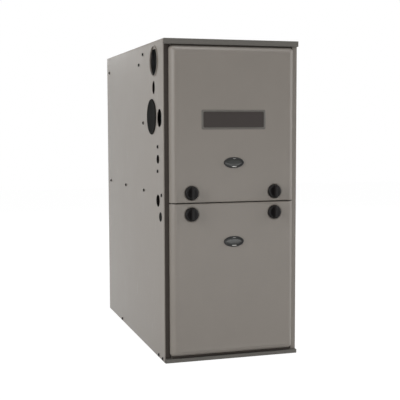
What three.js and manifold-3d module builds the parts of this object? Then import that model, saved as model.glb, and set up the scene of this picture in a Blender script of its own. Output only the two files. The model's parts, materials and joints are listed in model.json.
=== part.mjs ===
// An upflow forced air gas furnace in a narrow steel cabinet, with its doors, burners, heat exchanger,
// draft inducer and circulating blower. X runs to the right, Y to the back and Z up, in millimetres.
// Everything is drawn with Y = 0 on the casing's front face and then set about the cabinet's middle.
import * as THREE from "three";
import { mergeVertices } from "three/addons/utils/BufferGeometryUtils.js";
import Module from "manifold-3d";

const wasm = await Module();
wasm.setup();

// ---- Fits shared by all pieces
const SEAT = 0.3; // left between a piece and what carries it
const RUNNING = 0.3; // around a shaft in its bore
const BEYOND = 5; // how far a cutting tool runs past what it cuts

// ---- Cabinet
const CASING_WIDTH = 368.3;
const CASING_DEPTH = 730.3;
const CASING_HEIGHT = 838.2;
const SHEET = 1.2;
const BEND_RADIUS = 2.2;
const FRONT_FLANGE = 24;
const REAR_FLANGE = 16;
const TOP_PANEL_FLANGE = 20;
const BASE_PANEL_FLANGE = 25;
const RAIL_PROUD = 10;
const TOP_RAIL_HEIGHT = 14.2;
const BASE_RAIL_HEIGHT = 10;
const DECK_Z = 429;
const DECK_FLANGE = 17;
const CENTRE_RAIL_BOTTOM = 365;
const CENTRE_RAIL_TOP = 470;
const CENTRE_RAIL_UPPER_LIP = 15;
const CENTRE_RAIL_LOWER_LIP = 58;
const VESTIBULE_DEPTH = 209;
const VESTIBULE_FLANGE = 17;

// ---- Duct and pipe openings of the cabinet
const SUPPLY_FROM_SIDE = 20.65;
const SUPPLY_FRONT = 222;
const SUPPLY_BACK = 712;
const SUPPLY_FLANGE_HEIGHT = 5;
const PIPE_HOLE_RADIUS = 38;
const PLUG_HOLE_RADIUS = 43;
const PLUG_RADIUS = 47.5;
const PLUG_RIM = 2.6;
const PLUG_SIDES = 16; // facets of the plug and its hole, so that they fit
const PLUG_SKIRT_DEPTH = 9;
const PLUG_SKIRT_WALL = 2;
const KNOCKOUT_SLIT = 1.6;
const KNOCKOUT_TAB = 7;
const SCREW_HOLE_RADIUS = 3.4;
const PIPE_HOLE = { y: 91.7, z: 787, radius: PIPE_HOLE_RADIUS };
const PLUG_HOLE = { y: 119, z: 641, radius: PLUG_HOLE_RADIUS };
const GAS_HOLE = { y: 39, z: 637, radius: 23.5 };
const WIRE_HOLE = { y: 56, z: 529.5, radius: 11.2 };
const DRAIN_KNOCKOUT = { y: 96, z: 718, radius: 17.5 };
const SUPPLY_WIRE_KNOCKOUT = { y: 57, z: 420.5, radius: 16 };
const CONTROL_WIRE_KNOCKOUT = { y: 32, z: 379.7, radius: 12.5 };
const SIDE_SCREW_HOLES = [
  { y: 217.8, z: 813.2 },
  { y: 218.5, z: 624.7 },
  { y: 266.3, z: 787.5 },
  { y: 692.8, z: 789.3 },
  { y: 57.1, z: 561.9 },
  { y: 58.9, z: 497.8 },
  { y: 20.8, z: 437 },
  { y: 216.7, z: 437 },
  { y: 451.9, z: 437 },
  { y: 681.4, z: 437 },
];

// ---- Doors
const DOOR_WIDTH = 338.3;
const DOOR_DEPTH = 19.05;
const DOOR_SHEET = 1;
const DOOR_ROLL = 22;
const DOOR_EDGE_STRAIGHT = 2.5;
const DOOR_CORNER = 14;
const DOOR_MEETING_RADIUS = 2.5;
const DOOR_MEETING_Z = 417.7;
const DOOR_MEETING_GAP = 1.6;
const LOWER_DOOR_BOTTOM = 17;
const UPPER_DOOR_TOP_GAP = 2.8;
const DOOR_RETURN = 22;
const DOOR_END_RETURN = 16;
const DOOR_HEM_WIDTH = 300;
const DOOR_HEM_SET_BACK = 0.6;
const DOOR_HEM_LAP = 3.4;
const LINER_THICKNESS = 11;
const LINER_MARGIN = 3;
const LINER_KNOB_CLEARANCE = 4;
const SIGHT_WIDTH = 55;
const SIGHT_HEIGHT = 29;
const SIGHT_RIM = 4.2;
const SIGHT_PROUD = 2.6;
const SIGHT_PLUG_LENGTH = 8;
const SIGHT_WINDOW_DEPTH = 1.8;
const UPPER_SIGHT_Z = 521;
const LOWER_SIGHT_Z = 314.4;
const PLATE_WIDTH = 176;
const PLATE_HEIGHT = 51;
const PLATE_THICKNESS = 1.6;
const PLATE_RIM = 2.2;
const PLATE_RECESS = 0.5;
const PLATE_CORNER = 4;
const PLATE_Z = 632.5;

// ---- Quarter-turn door knobs
const KNOB_X = 114.3;
const UPPER_KNOB_Z = 443.7;
const LOWER_KNOB_Z = 388.5;
const KNOB_RADIUS = 18.5;
const KNOB_DISH_RADIUS = 26;
const KNOB_DISH_DEPTH = 2.2;
const KNOB_SKIRT = 7;
const KNOB_GRIP_LENGTH = 34;
const KNOB_GRIP_WIDTH = 9;
const KNOB_GRIP_RISE = 12;
const KNOB_GRIP_CORNER = 3;
const KNOB_SHAFT_RADIUS = 3.5;
const CAM_LENGTH = 22;
const CAM_WIDTH = 6.4;
const CAM_THICKNESS = 3;
const CAM_CLEARANCE = 1.6;
const CAM_SLOT_CLEARANCE = 2;

// ---- Burners and gas train
const BURNER_COUNT = 3;
const BURNER_PITCH = 90;
const BURNER_Z = 720;
const BURNER_FRONT = 106;
const BURNER_LENGTH = 90;
const BURNER_MOUTH = 17;
const BURNER_THROAT = 10;
const BURNER_WAIST = 14;
const BURNER_FLARE = 20;
const BURNER_WALL = 1.2;
const BURNER_PLATE_Y = 150;
const BURNER_BOX_WIDTH = 266;
const BURNER_BOX_HEIGHT = 96;
const BURNER_BOX_FRONT = 104;
const BURNER_BOX_FLANGE = 12;
const BURNER_BOX_BACK_GAP = 4.5;
const MANIFOLD_Y = 80;
const MANIFOLD_RADIUS = 10.7;
const MANIFOLD_BORE = 8;
const MANIFOLD_RIGHT = 108;
const MANIFOLD_BEND = 22;
const MANIFOLD_STRAP = 14;
const ORIFICE_RADIUS = 6;
const ORIFICE_REACH = 22;
const TRAP_FROM_SIDE = 12.15;
const TRAP_WIDTH = 46;
const VALVE_FROM_SIDE = 52.15;
const VALVE_WIDTH = 64;
const VALVE_FRONT = 34;
const VALVE_BACK = 96;
const VALVE_BOTTOM = 602;
const VALVE_TOP = 672;
const VALVE_PORT_Y = 45;
const VALVE_PORT_RADIUS = 14;
const VALVE_PORT_REACH = 10;
const VALVE_KNOB_RADIUS = 12;
const VALVE_KNOB_HEIGHT = 14;
const VALVE_KNOB_Z = 622;
const IGNITER_Y = 199;
const ROLLOUT_X = 60;
const ROLLOUT_Y = 124;
const ROLLOUT_RADIUS = 9.5;
const ROLLOUT_HEIGHT = 8;
const BUTTON_RADIUS = 2.6;
const BUTTON_RISE = 4;
const BUTTON_BORE_DEPTH = 5;
const LIMIT_Z = 600;

// ---- Heat exchanger
const TUBE_RADIUS = 22;
const TUBE_WALL = 1.5;
const TUBE_FIT = 1.2; // around a tube in the vestibule panel
const TUBE_BEND = 40;
const TUBE_FRONT = 205;
const TUBE_REAR_BEND_Y = 600;
const TUBE_FRONT_BEND_Y = 300;
const COUPLING_FRONT = 649;
const COUPLING_BACK = 704;
const COUPLING_WIDTH = 300;
const COUPLING_TOP = 602;
const COIL_WIDTH = 276;
const COIL_BOTTOM = 468;
const COIL_TOP = 528;
const COIL_FRONT_PLATE = 3;
const COIL_PLATE_RIM = 6;
const COIL_CORE = 12;
const COIL_FINS = 14;
const FIN_SHARE = 0.45; // part of a fin's pitch that is metal
const COLLECTOR_FRONT = 165;
const COLLECTOR_MARGIN = 4;
const COLLECTOR_WALL_RIBS = 5;

// ---- Draft inducer and venting
const INDUCER_X = 30;
const INDUCER_Z = 508;
const INDUCER_FRONT = 100;
const INDUCER_BACK = 149.7;
const INDUCER_WALL = 3;
const VOLUTE_START = 52;
const VOLUTE_END = 66;
const VOLUTE_TOP = 578;
const INDUCER_INLET_RADIUS = 26;
const INDUCER_WHEEL_RADIUS = 45;
const INDUCER_WHEEL_BLADES = 8;
const INDUCER_SHAFT_RADIUS = 4;
const INDUCER_MOTOR_RADIUS = 40;
const INDUCER_MOTOR_LENGTH = 58;
const VENT_PIPE_RADIUS = 30.15;
const VENT_PIPE_WALL = 3.9;
const VENT_FIT = 1; // around a pipe in the top panel and in its collar
const VENT_FROM_SIDE = 38.15;
const VENT_Y = 60;
const VENT_COLLAR_WALL = 3;
const VENT_COLLAR_LENGTH = 18;
const VENT_STRAIGHT = 38;
const VENT_OFFSET_RISE = 42;
const VENT_BEND = 34;
const INTAKE_X = -75;
const INTAKE_Y = 110;
const INTAKE_DROP = 48;
const INTAKE_FLANGE_RADIUS = 40;
const INTAKE_FLANGE = 2.5;
const PRESSURE_SWITCH_X = -115;
const PRESSURE_SWITCH_Z = 590;
const PRESSURE_SWITCH_RADIUS = 38;
const HOSE_RADIUS = 4.6;
const HOSE_BORE = 2.6;
const DRAIN_HOSE_RADIUS = 9;
const DRAIN_HOSE_BORE = 6.5;

// ---- Circulating blower
const BLOWER_Y = 400;
const BLOWER_Z = 212;
const BLOWER_WIDTH = 190;
const SCROLL_START = 142;
const SCROLL_END = 190;
const SCROLL_CUTOFF_DEG = 70;
const SCROLL_SHEET = 1.2;
const INLET_RADIUS = 98;
const INLET_RIM = 8;
const INLET_LIP = 10;
const WHEEL_RADIUS = 120;
const WHEEL_INNER = 100;
const WHEEL_WIDTH = 168;
const WHEEL_BLADES = 24;
const WHEEL_RING = 4;
const HUB_X = -28;
const HUB_PLATE = 1.4;
const HUB_RADIUS = 16;
const HUB_LENGTH = 30;
const SHAFT_RADIUS = 6.35;
const MOTOR_RADIUS = 68;
const MOTOR_LEFT = -2;
const MOTOR_RIGHT = 92;
const MOTOR_BAND_LEFT = 60;
const MOTOR_BAND_WIDTH = 20;
const MOTOR_BAND_SHEET = 2.4;
const MOTOR_ARMS = 3;
const MOTOR_ARM_WIDTH = 18;
const MOTOR_ARM_REACH = 126;

// ---- Electrical parts
const CONTROL_PANEL_Y = 62;
const CONTROL_PANEL_FROM_SIDE = 44.15;
const CONTROL_PANEL_BOTTOM = 150;
const BOARD_LEFT = -130;
const BOARD_RIGHT = 50;
const BOARD_BOTTOM = 235;
const BOARD_TOP = 350;
const BOARD_THICKNESS = 1.6;
const BOARD_STANDOFF = 6;
const TRANSFORMER_X = 98;
const TRANSFORMER_Z = 300;
const SWITCH_FROM_SIDE = 32.15;
const SWITCH_Z = 340;
const PLUNGER_RADIUS = 3.5;
const PLUNGER_TRAVEL = 6;
const SWITCH_FRONT = 12;
const SWITCH_BACK = 44;
const JUNCTION_DEPTH = 46;
const JUNCTION_WIDTH = 64;
const JUNCTION_HEIGHT = 72;

// ---- Values worked out from the sizes above
const OUTER_X = CASING_WIDTH / 2;
const INNER_X = OUTER_X - SHEET;
const FITTED_X = INNER_X - SEAT; // half the width of a piece that fits between the side panels
const BACK_PANEL_Y = CASING_DEPTH - SHEET - SEAT;
const FITTED_BACK = BACK_PANEL_Y - SHEET - SEAT;
const BEHIND_FLANGE = SHEET + SEAT;
const UNDER_TOP = CASING_HEIGHT - SHEET - SEAT;
const DECK_TOP = DECK_Z + SHEET;
const TOP_RAIL_BOTTOM = CASING_HEIGHT - TOP_RAIL_HEIGHT;
const UPPER_DOOR_TOP = TOP_RAIL_BOTTOM - UPPER_DOOR_TOP_GAP;
const LOWER_DOOR_TOP = DOOR_MEETING_Z - DOOR_MEETING_GAP / 2;
const UPPER_DOOR_BOTTOM = DOOR_MEETING_Z + DOOR_MEETING_GAP / 2;
const DOOR_X = DOOR_WIDTH / 2;
const VALVE_X = -OUTER_X + VALVE_FROM_SIDE;
const SUPPLY_WIDTH = 2 * (OUTER_X - SUPPLY_FROM_SIDE);
const VENT_X = OUTER_X - VENT_FROM_SIDE;
const SWITCH_X = OUTER_X - SWITCH_FROM_SIDE;
const CONTROL_PANEL_WIDTH = 2 * (OUTER_X - CONTROL_PANEL_FROM_SIDE);
const DOOR_SKIN_BACK = -DOOR_DEPTH + DOOR_SHEET;
const BURNER_XS = Array.from({ length: BURNER_COUNT }, (_, i) => (i - (BURNER_COUNT - 1) / 2) * BURNER_PITCH);
const VESTIBULE_FACE = VESTIBULE_DEPTH - SEAT;
const KNOB_SEAT_Y = -DOOR_DEPTH + KNOB_DISH_DEPTH - SEAT;
const CAM_FRONT = BEHIND_FLANGE + SHEET + CAM_CLEARANCE;
const INDUCER_MOTOR_BACK = INDUCER_FRONT - SEAT;
const VENT_START = [INDUCER_X + VOLUTE_END - VENT_PIPE_RADIUS - VENT_COLLAR_WALL, (INDUCER_FRONT + INDUCER_BACK) / 2];

// ---- Making and joining solids

// A closed geometry as a solid that can be joined and cut.
function solid(geometry) {
  const triangles = geometry.index ? geometry.toNonIndexed() : geometry;
  const bare = new THREE.BufferGeometry();
  bare.setAttribute("position", triangles.getAttribute("position"));
  const merged = mergeVertices(bare, 1e-4);
  const triVerts = new Uint32Array(merged.index.array);
  const vertProperties = merged.getAttribute("position").array;
  const made = new wasm.Manifold(new wasm.Mesh({ numProp: 3, vertProperties, triVerts }));
  if (made.volume() >= 0) return made;
  for (let i = 0; i < triVerts.length; i += 3) {
    [triVerts[i + 1], triVerts[i + 2]] = [triVerts[i + 2], triVerts[i + 1]];
  }
  return new wasm.Manifold(new wasm.Mesh({ numProp: 3, vertProperties, triVerts }));
}

function geometryOf(body) {
  const { numProp, numVert, vertProperties, triVerts } = body.getMesh();
  const positions = new Float32Array(numVert * 3);
  for (let i = 0; i < numVert; i++) {
    positions.set(vertProperties.subarray(i * numProp, i * numProp + 3), i * 3);
  }
  const indexed = new THREE.BufferGeometry();
  indexed.setAttribute("position", new THREE.BufferAttribute(positions, 3));
  indexed.setIndex(new THREE.BufferAttribute(triVerts, 1));
  const flat = indexed.toNonIndexed();
  flat.computeVertexNormals();
  return flat;
}

const join = (...bodies) => bodies.flat().reduce((whole, body) => whole.add(body));
const cut = (body, ...tools) => tools.flat().reduce((left, tool) => left.subtract(tool), body);
const common = (...bodies) => bodies.reduce((whole, body) => whole.intersect(body));

function box([x0, x1], [y0, y1], [z0, z1]) {
  const block = new THREE.BoxGeometry(x1 - x0, y1 - y0, z1 - z0);
  return solid(block.translate((x0 + x1) / 2, (y0 + y1) / 2, (z0 + z1) / 2));
}

// Turns what was drawn in a plane and pulled along its normal so that it runs along the named axis.
// The plane's own axes become y and z for "x", x and z for "y", and x and y for "z".
function standAlong(geometry, axis, from, to) {
  const bases = {
    x: [new THREE.Vector3(0, 1, 0), new THREE.Vector3(0, 0, 1), new THREE.Vector3(1, 0, 0)],
    y: [new THREE.Vector3(1, 0, 0), new THREE.Vector3(0, 0, 1), new THREE.Vector3(0, -1, 0)],
    z: [new THREE.Vector3(1, 0, 0), new THREE.Vector3(0, 1, 0), new THREE.Vector3(0, 0, 1)],
  };
  const start = { x: [from, 0, 0], y: [0, to, 0], z: [0, 0, from] };
  geometry.applyMatrix4(new THREE.Matrix4().makeBasis(...bases[axis]));
  return geometry.translate(...start[axis]);
}

function prism(shape, axis, from, to, curveSegments = 1) {
  const pulled = new THREE.ExtrudeGeometry(shape, { depth: to - from, bevelEnabled: false, curveSegments });
  return solid(standAlong(pulled, axis, from, to));
}

// A pulled shape whose end faces have a rounded or chamfered edge of the given size.
function softPrism(shape, axis, from, to, edge, bevelSegments = 1, curveSegments = 1) {
  const pulled = new THREE.ExtrudeGeometry(shape, {
    depth: to - from - 2 * edge,
    bevelThickness: edge,
    bevelSize: edge,
    bevelOffset: -edge,
    bevelSegments,
    curveSegments,
  });
  pulled.translate(0, 0, edge);
  return solid(standAlong(pulled, axis, from, to));
}

// A solid of revolution: each point is [radius, place along the axis], and centre is where the axis lies
// in the plane across it, in the order of standAlong.
function turned(points, axis, centre, sides = 16) {
  const lathe = new THREE.LatheGeometry(points.map(([r, a]) => new THREE.Vector2(r, a)), sides);
  lathe.rotateX(Math.PI / 2);
  const [u, v] = centre;
  if (axis === "x") return solid(standAlong(lathe, "x", 0, 0).translate(0, u, v));
  if (axis === "z") return solid(lathe.translate(u, v, 0));
  return solid(standAlong(lathe.rotateX(Math.PI), "y", 0, 0).translate(u, 0, v));
}

const rod = (axis, centre, from, to, radius, sides = 8) =>
  turned([[0, from], [radius, from], [radius, to], [0, to]], axis, centre, sides);

const ring = (axis, centre, from, to, radius, bore, sides = 12) =>
  turned([[bore, from], [radius, from], [radius, to], [bore, to], [bore, from]], axis, centre, sides);

function outline(points) {
  return new THREE.Shape(points.map(([u, v]) => new THREE.Vector2(u, v)));
}

function roundedRectangle(u0, u1, v0, v1, radius) {
  const shape = new THREE.Shape();
  shape.absarc(u1 - radius, v0 + radius, radius, -Math.PI / 2, 0);
  shape.absarc(u1 - radius, v1 - radius, radius, 0, Math.PI / 2);
  shape.absarc(u0 + radius, v1 - radius, radius, Math.PI / 2, Math.PI);
  shape.absarc(u0 + radius, v0 + radius, radius, Math.PI, 1.5 * Math.PI);
  return shape;
}

function ellipse(u, v, width, height) {
  const shape = new THREE.Shape();
  shape.absellipse(u, v, width / 2, height / 2, 0, 2 * Math.PI);
  return shape;
}

// The points of a bent line with each inner corner turned into a short arc.
function bent(points, radius, steps = 2) {
  return points.flatMap((corner, i) => {
    if (i === 0 || i === points.length - 1) return [corner];
    const at = new THREE.Vector2(...corner);
    const [before, after] = [points[i - 1], points[i + 1]].map((p) => new THREE.Vector2(...p).sub(at).normalize());
    const reach = radius / Math.tan(before.angleTo(after) / 2);
    const start = at.clone().addScaledVector(before, reach);
    const end = at.clone().addScaledVector(after, reach);
    const curve = new THREE.QuadraticBezierCurve(start, at, end);
    return curve.getPoints(steps).map((p) => [p.x, p.y]);
  });
}

// The section of a sheet folded along the points, with its thickness on the left of the way they run.
function folded(points, thickness = SHEET) {
  const line = points.map((p) => new THREE.Vector2(...p));
  const normals = line.slice(1).map((p, i) => {
    const along = p.clone().sub(line[i]).normalize();
    return new THREE.Vector2(-along.y, along.x);
  });
  const inside = line.map((p, i) => {
    const first = normals[Math.max(i - 1, 0)];
    const second = normals[Math.min(i, normals.length - 1)];
    const mitre = first.clone().add(second).divideScalar(1 + first.dot(second));
    return p.clone().addScaledVector(mitre, thickness);
  });
  return new THREE.Shape([...line, ...inside.reverse()]);
}

// A line through stations that a tube follows: one ring of the tube stands at each station.
class Route extends THREE.Curve {
  constructor(stations) {
    super();
    this.stations = stations;
  }

  getPoint(t, target = new THREE.Vector3()) {
    const last = this.stations.length - 1;
    const at = Math.min(Math.max(t, 0), 1) * last;
    const i = Math.min(Math.floor(at), last - 1);
    return target.lerpVectors(this.stations[i], this.stations[i + 1], at - i);
  }

  getUtoTmapping(u) {
    return u;
  }
}

// The stations of straight runs between corners, each corner an arc of the given bend radius.
function bentRoute(corners, bend, arcSteps = 2) {
  const points = corners.map((p) => new THREE.Vector3(...p));
  const stations = points.flatMap((at, i) => {
    if (i === 0 || i === points.length - 1) return [at];
    const before = points[i - 1].clone().sub(at);
    const after = points[i + 1].clone().sub(at);
    const half = before.angleTo(after) / 2;
    const reach = bend / Math.tan(half);
    const toCentre = before.clone().normalize().add(after.clone().normalize()).normalize();
    const centre = at.clone().addScaledVector(toCentre, bend / Math.sin(half));
    const start = at.clone().addScaledVector(before.normalize(), reach).sub(centre);
    const end = at.clone().addScaledVector(after.normalize(), reach).sub(centre);
    const turn = new THREE.Vector3().crossVectors(start, end).normalize();
    const angle = start.angleTo(end);
    return Array.from({ length: arcSteps + 1 }, (_, k) =>
      start.clone().applyAxisAngle(turn, (angle * k) / arcSteps).add(centre),
    );
  });
  return new Route(stations);
}

function tube(route, radius, bore, sides = 8) {
  const section = new THREE.Shape();
  section.absarc(0, 0, radius, 0, 2 * Math.PI);
  const hole = new THREE.Path();
  hole.absarc(0, 0, bore, 0, 2 * Math.PI, true);
  section.holes.push(hole);
  const steps = route.stations.length - 1;
  return solid(new THREE.ExtrudeGeometry(section, { extrudePath: route, steps, curveSegments: sides / 2 }));
}

// ---- Finishes
const finish = (color, roughness, metalness) => () => new THREE.MeshStandardMaterial({ color, roughness, metalness });
const taupePaint = finish(0x9d968e, 0.55, 0.2);
const darkTaupe = finish(0x6f6a64, 0.55, 0.2);
const galvanised = finish(0xb4b8ba, 0.45, 0.8);
const aluminised = finish(0xa9aaa8, 0.5, 0.8);
const stainless = finish(0xc0c2c4, 0.35, 0.9);
const blackPlastic = finish(0x1d1d1c, 0.45, 0);
const greyPlastic = finish(0x3c3f3d, 0.6, 0);
const whitePlastic = finish(0xe6e4dc, 0.45, 0);
const castAluminium = finish(0xa7a9ab, 0.5, 0.7);
const foil = finish(0xc9cbcc, 0.3, 0.8);
const rubber = finish(0x242424, 0.8, 0);
const boardGreen = finish(0x2f6b45, 0.5, 0);
const ceramic = finish(0xe9e4d8, 0.7, 0);
const red = finish(0xb3261e, 0.5, 0);
const glass = finish(0x4c4f4d, 0.15, 0);

const furnace = new THREE.Group();

function add(name, body, material, [x, y, z] = [0, 0, 0]) {
  const mesh = new THREE.Mesh(geometryOf(body), material());
  mesh.name = name;
  mesh.position.set(x, y, z);
  furnace.add(mesh);
}

// ---- Cabinet panels

const throughSide = ({ y, z, radius = SCREW_HOLE_RADIUS }, sides = PLUG_SIDES) =>
  rod("x", [y, z], -OUTER_X - BEYOND, OUTER_X + BEYOND, radius, sides);

// The slit around a knock-out disc, bridged by two tabs above and below it.
function knockoutSlit({ y, z, radius }) {
  const across = [-OUTER_X - BEYOND, OUTER_X + BEYOND];
  const slit = ring("x", [y, z], ...across, radius, radius - KNOCKOUT_SLIT, 10);
  return cut(slit, box(across, [y - KNOCKOUT_TAB / 2, y + KNOCKOUT_TAB / 2], [z - radius - 1, z + radius + 1]));
}

function sidePanel(mirror, openHoles, knockouts) {
  const section = [
    [-OUTER_X + REAR_FLANGE, CASING_DEPTH],
    [-OUTER_X, CASING_DEPTH],
    [-OUTER_X, 0],
    [-OUTER_X + FRONT_FLANGE, 0],
  ];
  const left = folded(bent(section, BEND_RADIUS)).getPoints();
  const shape = new THREE.Shape(mirror ? left.map((p) => p.setX(-p.x)) : left);
  const wall = prism(shape, "z", 0, CASING_HEIGHT);
  const screwHoles = SIDE_SCREW_HOLES.map((hole) => throughSide(hole, 6));
  return cut(wall, screwHoles, openHoles.map((hole) => throughSide(hole)), knockouts.map(knockoutSlit));
}

const sideKnockouts = [DRAIN_KNOCKOUT, SUPPLY_WIRE_KNOCKOUT, CONTROL_WIRE_KNOCKOUT];
add("casing_left", sidePanel(false, [PIPE_HOLE, PLUG_HOLE, GAS_HOLE, WIRE_HOLE], sideKnockouts), taupePaint);
const rightKnockouts = [GAS_HOLE, WIRE_HOLE, SUPPLY_WIRE_KNOCKOUT];
add("casing_right", sidePanel(true, [], rightKnockouts), taupePaint);

add(
  "casing_back",
  box([-FITTED_X, FITTED_X], [BACK_PANEL_Y - SHEET, BACK_PANEL_Y], [0, CASING_HEIGHT]),
  taupePaint,
);

function supplyFrame(extra, low, high) {
  const across = [-SUPPLY_WIDTH / 2 - extra, SUPPLY_WIDTH / 2 + extra];
  return box(across, [SUPPLY_FRONT - extra, SUPPLY_BACK + extra], [low, high]);
}

function topPanel() {
  const section = [
    [FITTED_X, CASING_HEIGHT - TOP_PANEL_FLANGE],
    [FITTED_X, CASING_HEIGHT],
    [-FITTED_X, CASING_HEIGHT],
    [-FITTED_X, CASING_HEIGHT - TOP_PANEL_FLANGE],
  ];
  const plate = prism(folded(section), "y", BEHIND_FLANGE, FITTED_BACK);
  const frontFlange = box(
    [-FITTED_X, FITTED_X],
    [BEHIND_FLANGE, BEHIND_FLANGE + SHEET],
    [CASING_HEIGHT - TOP_PANEL_FLANGE, CASING_HEIGHT],
  );
  const ductTop = CASING_HEIGHT + SUPPLY_FLANGE_HEIGHT;
  const ductFlange = supplyFrame(SHEET, CASING_HEIGHT - SHEET, ductTop);
  const duct = supplyFrame(0, CASING_HEIGHT - BEYOND, ductTop + BEYOND);
  const pipeHole = (x, y) => rod("z", [x, y], CASING_HEIGHT - BEYOND, CASING_HEIGHT + BEYOND, VENT_PIPE_RADIUS + VENT_FIT, 18);
  return cut(join(plate, frontFlange, ductFlange), duct, pipeHole(VENT_X, VENT_Y), pipeHole(INTAKE_X, INTAKE_Y));
}

add("top_panel", topPanel(), taupePaint);

function basePanel() {
  const section = [
    [-FITTED_X, BASE_PANEL_FLANGE],
    [-FITTED_X, 0],
    [FITTED_X, 0],
    [FITTED_X, BASE_PANEL_FLANGE],
  ];
  const flange = (y) => box([-FITTED_X, FITTED_X], [y, y + SHEET], [0, BASE_PANEL_FLANGE]);
  const pan = prism(folded(section), "y", BEHIND_FLANGE, FITTED_BACK);
  return join(pan, flange(BEHIND_FLANGE), flange(FITTED_BACK - SHEET));
}

add("base_panel", basePanel(), galvanised);

// A rail across the casing's front, open to the back, with its lips against the front flanges.
function frontRail(low, high) {
  const section = [
    [-SEAT, high],
    [-RAIL_PROUD, high],
    [-RAIL_PROUD, low],
    [-SEAT, low],
  ];
  return prism(folded(section), "x", -OUTER_X, OUTER_X);
}

add("top_rail", frontRail(TOP_RAIL_BOTTOM, CASING_HEIGHT), darkTaupe);
add("base_rail", frontRail(0, BASE_RAIL_HEIGHT), darkTaupe);

function centreRail() {
  const section = [
    [BEHIND_FLANGE + CENTRE_RAIL_UPPER_LIP, CENTRE_RAIL_TOP],
    [BEHIND_FLANGE, CENTRE_RAIL_TOP],
    [BEHIND_FLANGE, CENTRE_RAIL_BOTTOM],
    [BEHIND_FLANGE + CENTRE_RAIL_LOWER_LIP, CENTRE_RAIL_BOTTOM],
  ];
  const slotX = CAM_WIDTH / 2 + CAM_SLOT_CLEARANCE;
  const slotZ = CAM_LENGTH / 2 + CAM_SLOT_CLEARANCE;
  const slot = (x, z) =>
    prism(roundedRectangle(x - slotX, x + slotX, z - slotZ, z + slotZ, slotX * 0.9), "y", 0, 2 * BEYOND);
  const slots = [-KNOB_X, KNOB_X].flatMap((x) => [slot(x, UPPER_KNOB_Z), slot(x, LOWER_KNOB_Z)]);
  return cut(prism(folded(section), "x", -FITTED_X, FITTED_X), slots);
}

add("centre_rail", centreRail(), galvanised);

// The scroll of the blower in the plane of y and z, with its outlet running up to the deck.
function scrollOutline(inset, top) {
  const start = (SCROLL_CUTOFF_DEG * Math.PI) / 180;
  const steps = 16;
  const points = Array.from({ length: steps + 1 }, (_, i) => {
    const turn = start + ((2 * Math.PI - start) * i) / steps;
    const radius = SCROLL_START + ((SCROLL_END - SCROLL_START) * i) / steps - inset;
    return [BLOWER_Y + radius * Math.cos(turn), BLOWER_Z + radius * Math.sin(turn)];
  });
  const cutoffY = BLOWER_Y + SCROLL_START * Math.cos(start) + inset;
  return outline([...points, [BLOWER_Y + SCROLL_END - inset, top], [cutoffY, top]]);
}

const OUTLET_FRONT = BLOWER_Y + SCROLL_START * Math.cos((SCROLL_CUTOFF_DEG * Math.PI) / 180);
const OUTLET_BACK = BLOWER_Y + SCROLL_END;

function blowerDeck() {
  const section = [
    [-FITTED_X, DECK_Z + DECK_FLANGE],
    [-FITTED_X, DECK_Z],
    [FITTED_X, DECK_Z],
    [FITTED_X, DECK_Z + DECK_FLANGE],
  ];
  const plate = prism(folded(section), "y", BEHIND_FLANGE + SHEET + SEAT, FITTED_BACK);
  const opening = box([-BLOWER_WIDTH / 2, BLOWER_WIDTH / 2], [OUTLET_FRONT, OUTLET_BACK], [DECK_Z - 1, DECK_TOP + 1]);
  return cut(plate, opening);
}

add("blower_deck", blowerDeck(), galvanised);

function vestibulePanel() {
  const section = [
    [-FITTED_X, VESTIBULE_DEPTH + VESTIBULE_FLANGE],
    [-FITTED_X, VESTIBULE_DEPTH],
    [FITTED_X, VESTIBULE_DEPTH],
    [FITTED_X, VESTIBULE_DEPTH + VESTIBULE_FLANGE],
  ];
  const wall = prism(folded(section), "z", DECK_TOP + SEAT, UNDER_TOP);
  const depth = [VESTIBULE_DEPTH - BEYOND, VESTIBULE_DEPTH + VESTIBULE_FLANGE + BEYOND];
  const notch = (low, high) =>
    [-1, 1].map((side) => box([side * FITTED_X - SHEET - SEAT, side * FITTED_X + SHEET + SEAT], depth, [low, high]));
  const corners = [
    notch(DECK_Z, DECK_Z + DECK_FLANGE + SEAT),
    notch(CASING_HEIGHT - TOP_PANEL_FLANGE - SEAT, CASING_HEIGHT),
  ].flat();
  const tubeHoles = BURNER_XS.map((x) => rod("y", [x, BURNER_Z], ...depth, TUBE_RADIUS + TUBE_FIT, 12));
  const coilHole = box(
    [-COIL_WIDTH / 2 + COIL_PLATE_RIM, COIL_WIDTH / 2 - COIL_PLATE_RIM],
    depth,
    [COIL_BOTTOM + COIL_PLATE_RIM, COIL_TOP - COIL_PLATE_RIM],
  );
  return cut(wall, corners, tubeHoles, coilHole);
}

add("vestibule_panel", vestibulePanel(), galvanised);

function holePlug() {
  const face = -OUTER_X - SEAT;
  const edge = face - PLUG_RIM;
  const skirt = PLUG_HOLE_RADIUS - SEAT;
  const profile = [
    [0, edge + 1.2],
    [PLUG_RADIUS - 9, edge + 1.2],
    [PLUG_RADIUS - 7, edge],
    [PLUG_RADIUS - 2, edge],
    [PLUG_RADIUS, edge + 1.4],
    [PLUG_RADIUS, face],
    [skirt, face],
    [skirt, face + PLUG_SKIRT_DEPTH],
    [skirt - PLUG_SKIRT_WALL, face + PLUG_SKIRT_DEPTH],
    [skirt - PLUG_SKIRT_WALL, face],
    [0, face],
  ];
  return turned(profile, "x", [PLUG_HOLE.y, PLUG_HOLE.z], PLUG_SIDES);
}

add("pipe_hole_plug", holePlug(), greyPlastic);

// ---- Doors

// Half a door's section across a rolled edge: out from the back, round the roll, to the front face.
function rolledEdge(inset) {
  const steps = 3;
  const roll = DOOR_ROLL - inset;
  const drop = DOOR_DEPTH - SEAT - DOOR_EDGE_STRAIGHT - inset;
  return Array.from({ length: steps + 1 }, (_, i) => {
    const turn = (Math.PI / 2) * (i / steps);
    return [roll - roll * Math.cos(turn) + inset, -SEAT - DOOR_EDGE_STRAIGHT - drop * Math.sin(turn)];
  });
}

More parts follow.
